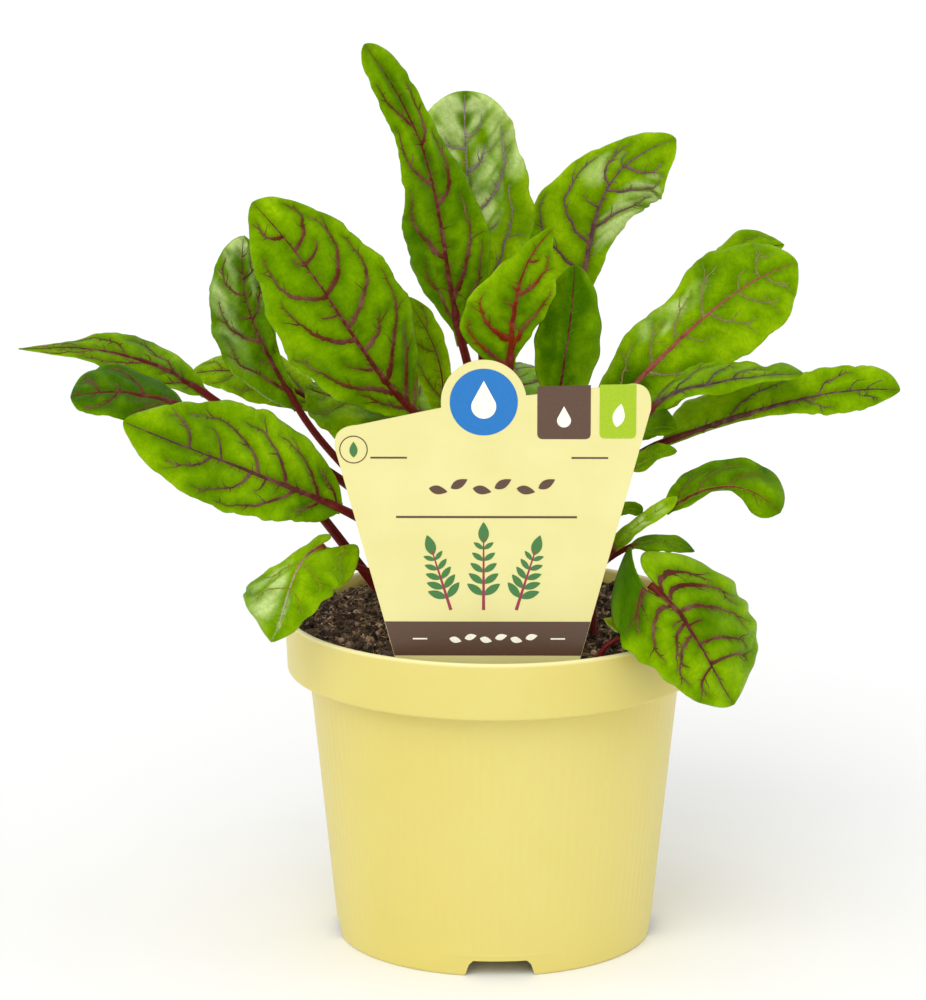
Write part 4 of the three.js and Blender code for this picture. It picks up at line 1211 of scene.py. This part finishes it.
def add_pot():
    """The pot, with its openings cut by a boolean."""
    pot = put("pot_fine", *pot_mesh(), POT_PLASTIC, "pot_plastic", ["pot"])
    cutter_mesh = bpy.data.meshes.new("cutter")
    vertices, faces = joined(notch_cutters() + drain_cutters())
    cutter_mesh.from_pydata(((vertices + AXIS) * MM).tolist(), [], faces)
    cutter = bpy.data.objects.new("cutter", cutter_mesh)
    bpy.context.scene.collection.objects.link(cutter)
    cut = pot.modifiers.new("cut", "BOOLEAN")
    cut.object = cutter
    cut.operation = "DIFFERENCE"
    cut.solver = "MANIFOLD"
    bpy.context.view_layer.update()
    mesh = bpy.data.meshes.new_from_object(pot.evaluated_get(bpy.context.evaluated_depsgraph_get()))
    pot.modifiers.clear()
    pot.data = mesh
    bpy.data.objects.remove(cutter)
    bpy.data.meshes.remove(cutter_mesh)
    mesh.polygons.foreach_set("use_smooth", [True] * len(mesh.polygons))
    mesh.set_sharp_from_angle(angle=math.radians(SHARP_EDGE))


# ---------------------------------------------------------------- soil


def fine_soil_top(x, y):
    """Height of the crumbly surface, which is lower in front of the label."""
    before = np.clip((LABEL["y"] + 1.3 - y) / 1.3, 0, 1)
    within = np.clip((LABEL["low_half"] + 4 - np.abs(x)) / 3, 0, 1)
    return (soil_top(x, y) + 0.9 * noise(x / 3.1, y / 3.1, 1) + 0.5 * noise(x / 1.5, y / 1.5, 2)
            + 0.25 * noise(x / 0.8, y / 0.8, 3) - FRONT_DROP * (before * within))


def add_soil():
    """The body of the soil: its crumbly top, the ledge in the collar, and the cone down to the floor."""
    ledge, low, full = COLLAR_LOW + POT["wall"], POT_FLOOR + 0.3, COLLAR_INSIDE - 0.2
    sides, rings = 260, 64
    angles = turns(sides)
    levels = [(radius, None) for radius in full * (np.arange(rings) + 1) / rings]
    levels += [(full, ledge + 0.3), (inner_wall(ledge) - SOIL["gap"], ledge + 0.3),
               (inner_wall(low) - SOIL["gap"], low)]
    rows = []
    for radius, level in levels:
        x, y = radius * np.cos(angles), radius * np.sin(angles)
        z = fine_soil_top(x, y) if level is None else np.full(sides, level)
        rows.append(np.stack([x, y, z], axis=1))
    centres = np.array([[0, 0, fine_soil_top(0.0, 0.0)], [0, 0, low]])
    faces = turned_over(wall_faces(len(rows), sides) + fan_faces(len(rows), sides))
    put("soil_fine", rows_of([*rows, centres]), faces, SOIL_DARK, "potting_soil", ["soil"])


def random_on_soil(random, count, reach):
    """Random places on the soil up to a radius."""
    radius = reach * np.sqrt(random.uniform(0, 1, count))
    angle = random.uniform(0, 2 * math.pi, count)
    return radius * np.cos(angle), radius * np.sin(angle)


def random_turns(random, count):
    """Random rotation matrices."""
    q = unit(random.normal(size=(count, 4)))
    w, x, y, z = q.T
    return np.stack([
        np.stack([1 - 2 * (y * y + z * z), 2 * (x * y - z * w), 2 * (x * z + y * w)], axis=1),
        np.stack([2 * (x * y + z * w), 1 - 2 * (x * x + z * z), 2 * (y * z - x * w)], axis=1),
        np.stack([2 * (x * z - y * w), 2 * (y * z + x * w), 1 - 2 * (x * x + y * y)], axis=1),
    ], axis=1)


def ball(subdivisions):
    """Vertices and faces of a sphere of triangles, as arrays."""
    shape = bmesh.new()
    bmesh.ops.create_icosphere(shape, subdivisions=subdivisions, radius=1.0)
    vertices = np.array([v.co[:] for v in shape.verts])
    faces = np.array([[v.index for v in face.verts] for face in shape.faces])
    shape.free()
    return vertices, faces


def add_crumbs(name, count, sizes, subdivisions, seed):
    """Ragged crumbs of peat that lie half sunk in the surface, but not in front of the label."""
    random = np.random.default_rng(seed)
    shape, shape_faces = ball(subdivisions)
    x, y = random_on_soil(random, count, COLLAR_INSIDE - 1.5)
    least, most = sizes
    clear = (np.abs(x) > LABEL["low_half"]) | (y > LABEL["y"] + 1 + 1.7 * most)
    x, y = x[clear], y[clear]
    count = len(x)
    size = least + (most - least) * random.uniform(0, 1, count) ** 2.5
    place = np.stack([x, y, fine_soil_top(x, y) + 0.25 * size], axis=1)
    stretch = random.uniform(0.55, 1.35, (count, 1, 3))
    ragged = random.uniform(0.62, 1.25, (count, len(shape), 1))
    local = shape[None] * ragged * stretch * size[:, None, None]
    vertices = np.einsum("nij,nkj->nki", random_turns(random, count), local) + place[:, None]
    faces = (shape_faces[None] + (np.arange(count) * len(shape))[:, None, None]).reshape(-1, 3)
    tone = random.uniform(0, 1, count) ** 2.6
    tints = mix(linear(76, 60, 47), linear(222, 186, 150), tone)
    put(name, vertices.reshape(-1, 3), faces.tolist(), CRUMBS, "potting_soil",
        tints=np.repeat(tints, len(shape), axis=0), smooth=False)


def add_fibres():
    """Thin pale fibres and rootlets on the surface, but not in front of the label."""
    random = np.random.default_rng(77)
    count, steps, sides = 1300, 8, 4
    x, y = random_on_soil(random, count, COLLAR_INSIDE - 5)
    heading = random.uniform(0, 2 * math.pi, count)
    curl = random.normal(0, 0.22, count)
    length = random.uniform(2, 9, count)
    radius = random.uniform(0.08, 0.22, count)
    tone = random.uniform(0, 1, count)
    parts, kept = [], []
    for k in range(count):
        turn = heading[k] + curl[k] * np.arange(steps)
        px = x[k] + np.cumsum(np.cos(turn)) * length[k] / steps
        py = y[k] + np.cumsum(np.sin(turn)) * length[k] / steps
        before_card = (np.abs(px) < LABEL["low_half"]) & (py < LABEL["y"] + 1)
        if np.hypot(px, py).max() > COLLAR_INSIDE - 1 or before_card.any():
            continue
        pz = fine_soil_top(px, py) + 0.35 + 0.5 * noise(np.arange(steps) * 0.5, 0, k)
        side = np.stack([-np.sin(turn), np.cos(turn), 0 * turn], axis=1)
        taper = radius[k] * np.sin(math.pi * np.linspace(0.12, 0.9, steps)) ** 0.5
        parts.append(tube(rings_about(np.stack([px, py, pz], axis=1), side, UP, taper, sides)))
        kept.append(k)
    tints = mix(linear(110, 78, 48), linear(206, 174, 134), tone[kept])
    put("soil_fibres", *joined(parts), CRUMBS, "potting_soil",
        tints=np.repeat(tints, steps * sides, axis=0))


# ---------------------------------------------------------------- label


def quadratic(start, corner, end, steps=10):
    """Points of a curve that bends round a corner."""
    u = np.linspace(0, 1, steps)[:, None]
    return np.array(start) * (1 - u) ** 2 + np.array(corner) * 2 * u * (1 - u) + np.array(end) * u * u


def circle(x, z, radius, steps=72, arc=(0, 360)):
    """Points of a circle, or of an arc of it in degrees."""
    angles = np.radians(np.linspace(*arc, steps, endpoint=arc[1] - arc[0] != 360))
    return np.stack([x + radius * np.cos(angles), z + radius * np.sin(angles)], axis=1)


def card_outline():
    """Outline of the card: its foot, its round head and its slanting shoulders."""
    middle, low = LABEL["middle"], LABEL["low"]
    foot, low_half, tip = LABEL["foot_half"], LABEL["low_half"], LABEL["foot_tip_half"]
    right_foot = [(middle + tip, LABEL["foot_tip"]), (middle + foot, LABEL["foot_shoulder"]),
                  (middle + foot, low), (middle + low_half, low)]
    left_foot = [(2 * middle - x, z) for x, z in reversed(right_foot)]
    head = circle(*LABEL["head"], LABEL["head_radius"], 48, LABEL["head_arc"])
    return np.concatenate([
        right_foot, quadratic(*LABEL["right_top"]), [LABEL["head_right"]], head,
        quadratic(*LABEL["left_top"]), left_foot,
    ])


def plate(outline, front, back, bevel=0.0):
    """A flat plate with an outline of (x, z) points, between two depths, with a fine bevel in front."""
    outline = np.asarray(outline, float)
    before, after = np.roll(outline, 1, axis=0), np.roll(outline, -1, axis=0)
    heading = unit(after - before)
    inward = np.stack([-heading[:, 1], heading[:, 0]], axis=1)
    inner = outline + inward * bevel
    count = len(outline)
    levels = [(inner, front), (outline, front + bevel), (outline, back - bevel), (inner, back)]
    vertices = np.concatenate([np.insert(points, 1, depth, axis=1) for points, depth in levels])
    ends = [tuple(range(count)), tuple(3 * count + k for k in reversed(range(count)))]
    return vertices, ends + turned_over(wall_faces(4, count))


FRONT = LABEL["y"] - LABEL["thick"] / 2
PRINT = 0.05  # how far printed shapes stand out of the card
BAND = (94.0, 103.7)  # heights of the brown band


def printed(outlines, lift=PRINT):
    """Thin plates on the card, each a hair further out than the one before, so that no faces coincide."""
    plates = []
    for k, outline in enumerate(outlines):
        plates.append(plate(outline, FRONT - lift - 0.001 * (k % 12), FRONT + 0.02))
    return joined(plates)


def bar(x0, x1, z0, z1):
    """Corners of a rectangle."""
    return [(x0, z0), (x1, z0), (x1, z1), (x0, z1)]


def ring_strips(x, z, radius, width, steps=60):
    """A thin printed ring, as short quadrilaterals."""
    outer, inner = circle(x, z, radius, steps), circle(x, z, radius - width, steps)
    return [[outer[k], outer[(k + 1) % steps], inner[(k + 1) % steps], inner[k]] for k in range(steps)]


def leaflet(x, z, length, width, angle, bulge=0.45):
    """Outline of a pointed oval leaf that starts at a place and points along an angle."""
    u = np.linspace(0, 1, 16)
    swell = width / 2 * np.sin(math.pi * u) ** 0.8 * (1 + bulge * (0.5 - u))
    along = np.array([math.cos(angle), math.sin(angle)])
    side = np.array([-along[1], along[0]])
    right = np.outer(u * length, along) - np.outer(swell, side)
    left = np.outer(u[::-1] * length, along) + np.outer(swell[::-1], side)
    return np.array([x, z]) + np.concatenate([right, left[1:-1]])


def tab(x0, x1, low, top0, top1, corner=1.6):
    """A tab that hangs from the card's upper edge, with round lower corners."""
    left = quadratic((x0, low + corner), (x0, low), (x0 + corner, low), 6)
    right = quadratic((x1 - corner, low), (x1, low), (x1, low + corner), 6)
    return np.concatenate([left, right, [(x1, top1), (x0, top0)]])


def sprig(x, z, length, lean):
    """An upright sprig with paired leaflets: outlines of its leaflets and of its stem."""
    heading = math.pi / 2 + lean
    along = np.array([math.cos(heading), math.sin(heading)])
    foot = np.array([x, z])
    leaves = []
    for k in range(5):
        size = 1 - 0.1 * k
        for side in (-1, 1):
            place = foot + along * length * (0.2 + 0.155 * k)
            leaves.append(leaflet(*place, 5.6 * size, 2.2 * size, heading + side * 0.95, 0.1))
    leaves.append(leaflet(*(foot + along * length * 0.9), 6.0, 2.9, heading))
    side = np.array([-along[1], along[0]])
    top = foot + along * length
    return leaves, [foot + side * 0.45, foot - side * 0.45, top - side * 0.15, top + side * 0.15]


def drop(x, z, size):
    """A water drop with its point up."""
    round_part = circle(x, z, size, 28, (-215, 35))
    return np.concatenate([round_part, [(x, z + 2.1 * size)]])


def card_side(z, top, side):
    """Where print ends beside the card's slanted side (-1 left, 1 right), which runs up to a top corner."""
    foot = LABEL["middle"] + side * LABEL["low_half"]
    return foot + (top[0] - foot) * (z - LABEL["low"]) / (top[1] - LABEL["low"]) - side * 0.1


def brown_print():
    """Outlines of the band, the left tab, the bars, the ring and the row of leaflets."""
    low, high = BAND
    left, right = LABEL["left_top"][-1], LABEL["right_top"][0]
    band = [(card_side(low, left, -1), low), (card_side(low, right, 1), low),
            (card_side(high, right, 1), high), (card_side(high, left, -1), high)]
    bars = [bar(-34, -24, 149.7, 150.2), bar(21, 31, 149.7, 150.2), bar(-27, 22.6, 133.0, 133.6)]
    row = [leaflet(-18 + 6 * k, 141.4, 5.2, 2.4, 0.5 if k % 2 else -0.2) for k in range(6)]
    return [band, tab(11.6, 26.2, 155.2, 169.9, 170.3), *bars, *ring_strips(-38.6, 152.2, 3.9, 0.3), *row]


def white_print():
    """Outlines of drops, bars and small leaves that lie over the coloured shapes."""
    head_x, head_z = LABEL["head"]
    row = [leaflet(-12.4 + 4.2 * k, 98.9, 3.4, 1.7, 0.25 if k % 2 else -0.25) for k in range(6)]
    return [drop(head_x, head_z - 1.2, 3.4), leaflet(33.2, 158.6, 6.6, 3.2, math.pi / 2 - 0.2),
            drop(18.9, 160.4, 1.9), bar(-22.5, -18.5, 98.6, 99.0), bar(15.5, 19.5, 98.6, 99.0), *row]


def add_print(name, mesh, colour):
    """One colour of the print."""
    put(f"label_print_{name}", *mesh, print_material(f"print_{name}", linear(*colour)), "label_card",
        smooth=False)


def add_label():
    """The card, and its print, one piece for each colour."""
    card = plate(card_outline(), FRONT, FRONT + LABEL["thick"], 0.08)
    put("label_card", *card, CARD, "label_card", ["label"], smooth=False)
    leaves, stems = [], []
    for x, length, lean in ((-12, 18, 0.3), (-3, 21, 0.0), (6, 18, -0.3)):
        outlines, stem = sprig(x, 107, length, lean)
        leaves += outlines
        stems.append(stem)
    leaves.append(leaflet(-38.6, 150.0, 4.4, 2.2, math.pi / 2))
    add_print("brown", printed(brown_print()), (88, 62, 46))
    add_print("lime", printed([tab(28.6, 38.6, 155.4, 170.4, 170.55)]), (158, 190, 2))
    add_print("blue", printed([circle(*LABEL["head"], 9.3)]), (12, 112, 186))
    add_print("green", printed(leaves), (62, 118, 56))
    add_print("red", printed(stems, 1.5 * PRINT), (150, 44, 66))
    plates = [plate(outline, FRONT - 2 * PRINT, FRONT - 0.5 * PRINT) for outline in white_print()]
    add_print("white", joined(plates), (250, 248, 226))


# ---------------------------------------------------------------- other materials


def plastic_material():
    """Pale yellow plastic that shines softly, with a painted highlight on its lip."""
    plastic = Shader("pot_plastic", Specular_IOR_Level=0.5, Subsurface_Weight=0.15,
                     Subsurface_Scale=0.002)
    broad = plastic.noise(18.0, 2.0)
    colour = plastic.ramp(broad, [(0.35, linear(214, 199, 105)), (0.65, linear(218, 204, 116))])
    place = plastic.add("TexCoord").outputs["Object"]
    height = plastic.add("SeparateXYZ", Vector=place).outputs["Z"]
    top = POT["height"] * MM
    # painted highlight: paler colour over the rim's top millimetre
    rim_highlight = plastic.add("MapRange", Value=height, From_Min=top - 0.0012, From_Max=top - 0.0004)
    share = plastic.math("MULTIPLY", rim_highlight.outputs["Result"], 0.6)
    colour = plastic.blend("MIX", share, colour, (*linear(246, 240, 186), 1))
    gloss = plastic.spread(broad, 0.34, 0.42)
    return plastic.finish(colour, gloss, plastic.noise(900.0, 2.0), 0.00002, 0.3)


def soil_material(name, base):
    """Peat, of one base colour or of the points' tints: with painted light on the crests and painted shade
    in the hollows of a fine grain that is also its bump.
    """
    peat = Shader(name, Specular_IOR_Level=0.25)
    grain = peat.noise(1400.0, 5.0, roughness=0.7)
    # painted shade and light: the grain's bump height darkens its hollows and lightens its crests
    grain_light_and_shade = peat.ramp(grain, [(0.35, grey(0.4)), (0.6, grey(1.0)), (0.75, grey(1.9))])
    clods = peat.noise(260.0, 3.0, roughness=0.6)
    damp = peat.ramp(clods, [(0.38, grey(0.35)), (0.52, grey(0.95)), (0.64, grey(1.6))])
    first = peat.read("tint", "Color") if base is None else (*base, 1)
    colour = peat.blend("MULTIPLY", 1.0, peat.blend("MULTIPLY", 1.0, first, grain_light_and_shade), damp)
    return peat.finish(colour, 0.9, grain, 0.0006, 0.9)


def card_material():
    card = Shader("label_card", Specular_IOR_Level=0.4)
    colour = card.ramp(card.noise(60.0, 3.0), [(0.3, linear(222, 214, 142)), (0.7, linear(227, 220, 152))])
    return card.finish(colour, 0.42, card.noise(2500.0, 1.0), 0.00001, 0.2)


def print_material(name, colour):
    ink = Shader(name, Specular_IOR_Level=0.45)
    shade = ink.ramp(ink.noise(1800.0, 2.0), [(0.3, grey(0.93)), (0.7, grey(1.06))])
    return ink.finish(ink.blend("MULTIPLY", 1.0, (*colour, 1), shade), 0.36)


def floor_material():
    paper = Shader("floor_paper", Specular_IOR_Level=0.2)
    return paper.finish(paper.ramp(paper.noise(3.0, 2.0), [(0.3, grey(0.93)), (0.7, grey(0.95))]), 0.85)


# ---------------------------------------------------------------- studio


def aim(thing, place, target):
    """Sets a camera or a lamp at a place and turns it to a target."""
    thing.location = (np.array(place) + AXIS) * MM
    direction = (np.array(target, float) - np.array(place, float))
    thing.rotation_euler = Vector(direction).to_track_quat("-Z", "Y").to_euler()


def add_camera():
    """The camera, where the photo's stood."""
    camera = bpy.data.objects.new("camera", bpy.data.cameras.new("camera"))
    camera.data.lens = LENS
    camera.data.sensor_width = SENSOR
    camera.data.clip_end = 50
    bpy.context.scene.collection.objects.link(camera)
    aim(camera, CAMERA_PLACE, CAMERA_TARGET)
    bpy.context.scene.camera = camera


def add_light():
    """Soft suns and an even sky."""
    scene = bpy.context.scene
    for name, place, strength, width in LAMPS:
        lamp = bpy.data.objects.new(name, bpy.data.lights.new(name, "SUN"))
        lamp.data.energy = strength
        lamp.data.angle = math.radians(width)
        scene.collection.objects.link(lamp)
        aim(lamp, place, (0, 0, 0))
    world = bpy.data.worlds.new("studio")
    world.use_nodes = True
    background = world.node_tree.nodes["Background"]
    background.inputs["Color"].default_value = (1, 1, 1, 1)
    background.inputs["Strength"].default_value = WORLD_LIGHT
    scene.world = world
    scene.view_settings.view_transform = "Standard"


def add_floor():
    """A plain pale floor."""
    half = FLOOR_SIDE / 2 * MM
    mesh = bpy.data.meshes.new("floor")
    corners = [(-half, -half, 0), (half, -half, 0), (half, half, 0), (-half, half, 0)]
    mesh.from_pydata(corners, [], [(0, 1, 2, 3)])
    mesh.materials.append(floor_material())
    floor = bpy.data.objects.new("floor", mesh)
    bpy.context.scene.collection.objects.link(floor)


# ---------------------------------------------------------------- build

FLESH = flesh_material()
POT_PLASTIC = plastic_material()
SOIL_DARK = soil_material("peat", linear(100, 78, 62))
CRUMBS = soil_material("peat_crumbs", None)
CARD = card_material()

add_camera()
add_light()
add_floor()
add_pot()
add_soil()
add_crumbs("soil_crumbs_small", 9000, (0.25, 0.95), 1, 5)
add_crumbs("soil_crumbs_large", 300, (0.8, 1.9), 2, 6)
add_fibres()
add_label()
for index, row in enumerate(LEAVES):
    made = Leaf(index + 1, row)
    add_blade(made)
    add_stalk(made)
add_sprout_blade()
add_sprout_stem()
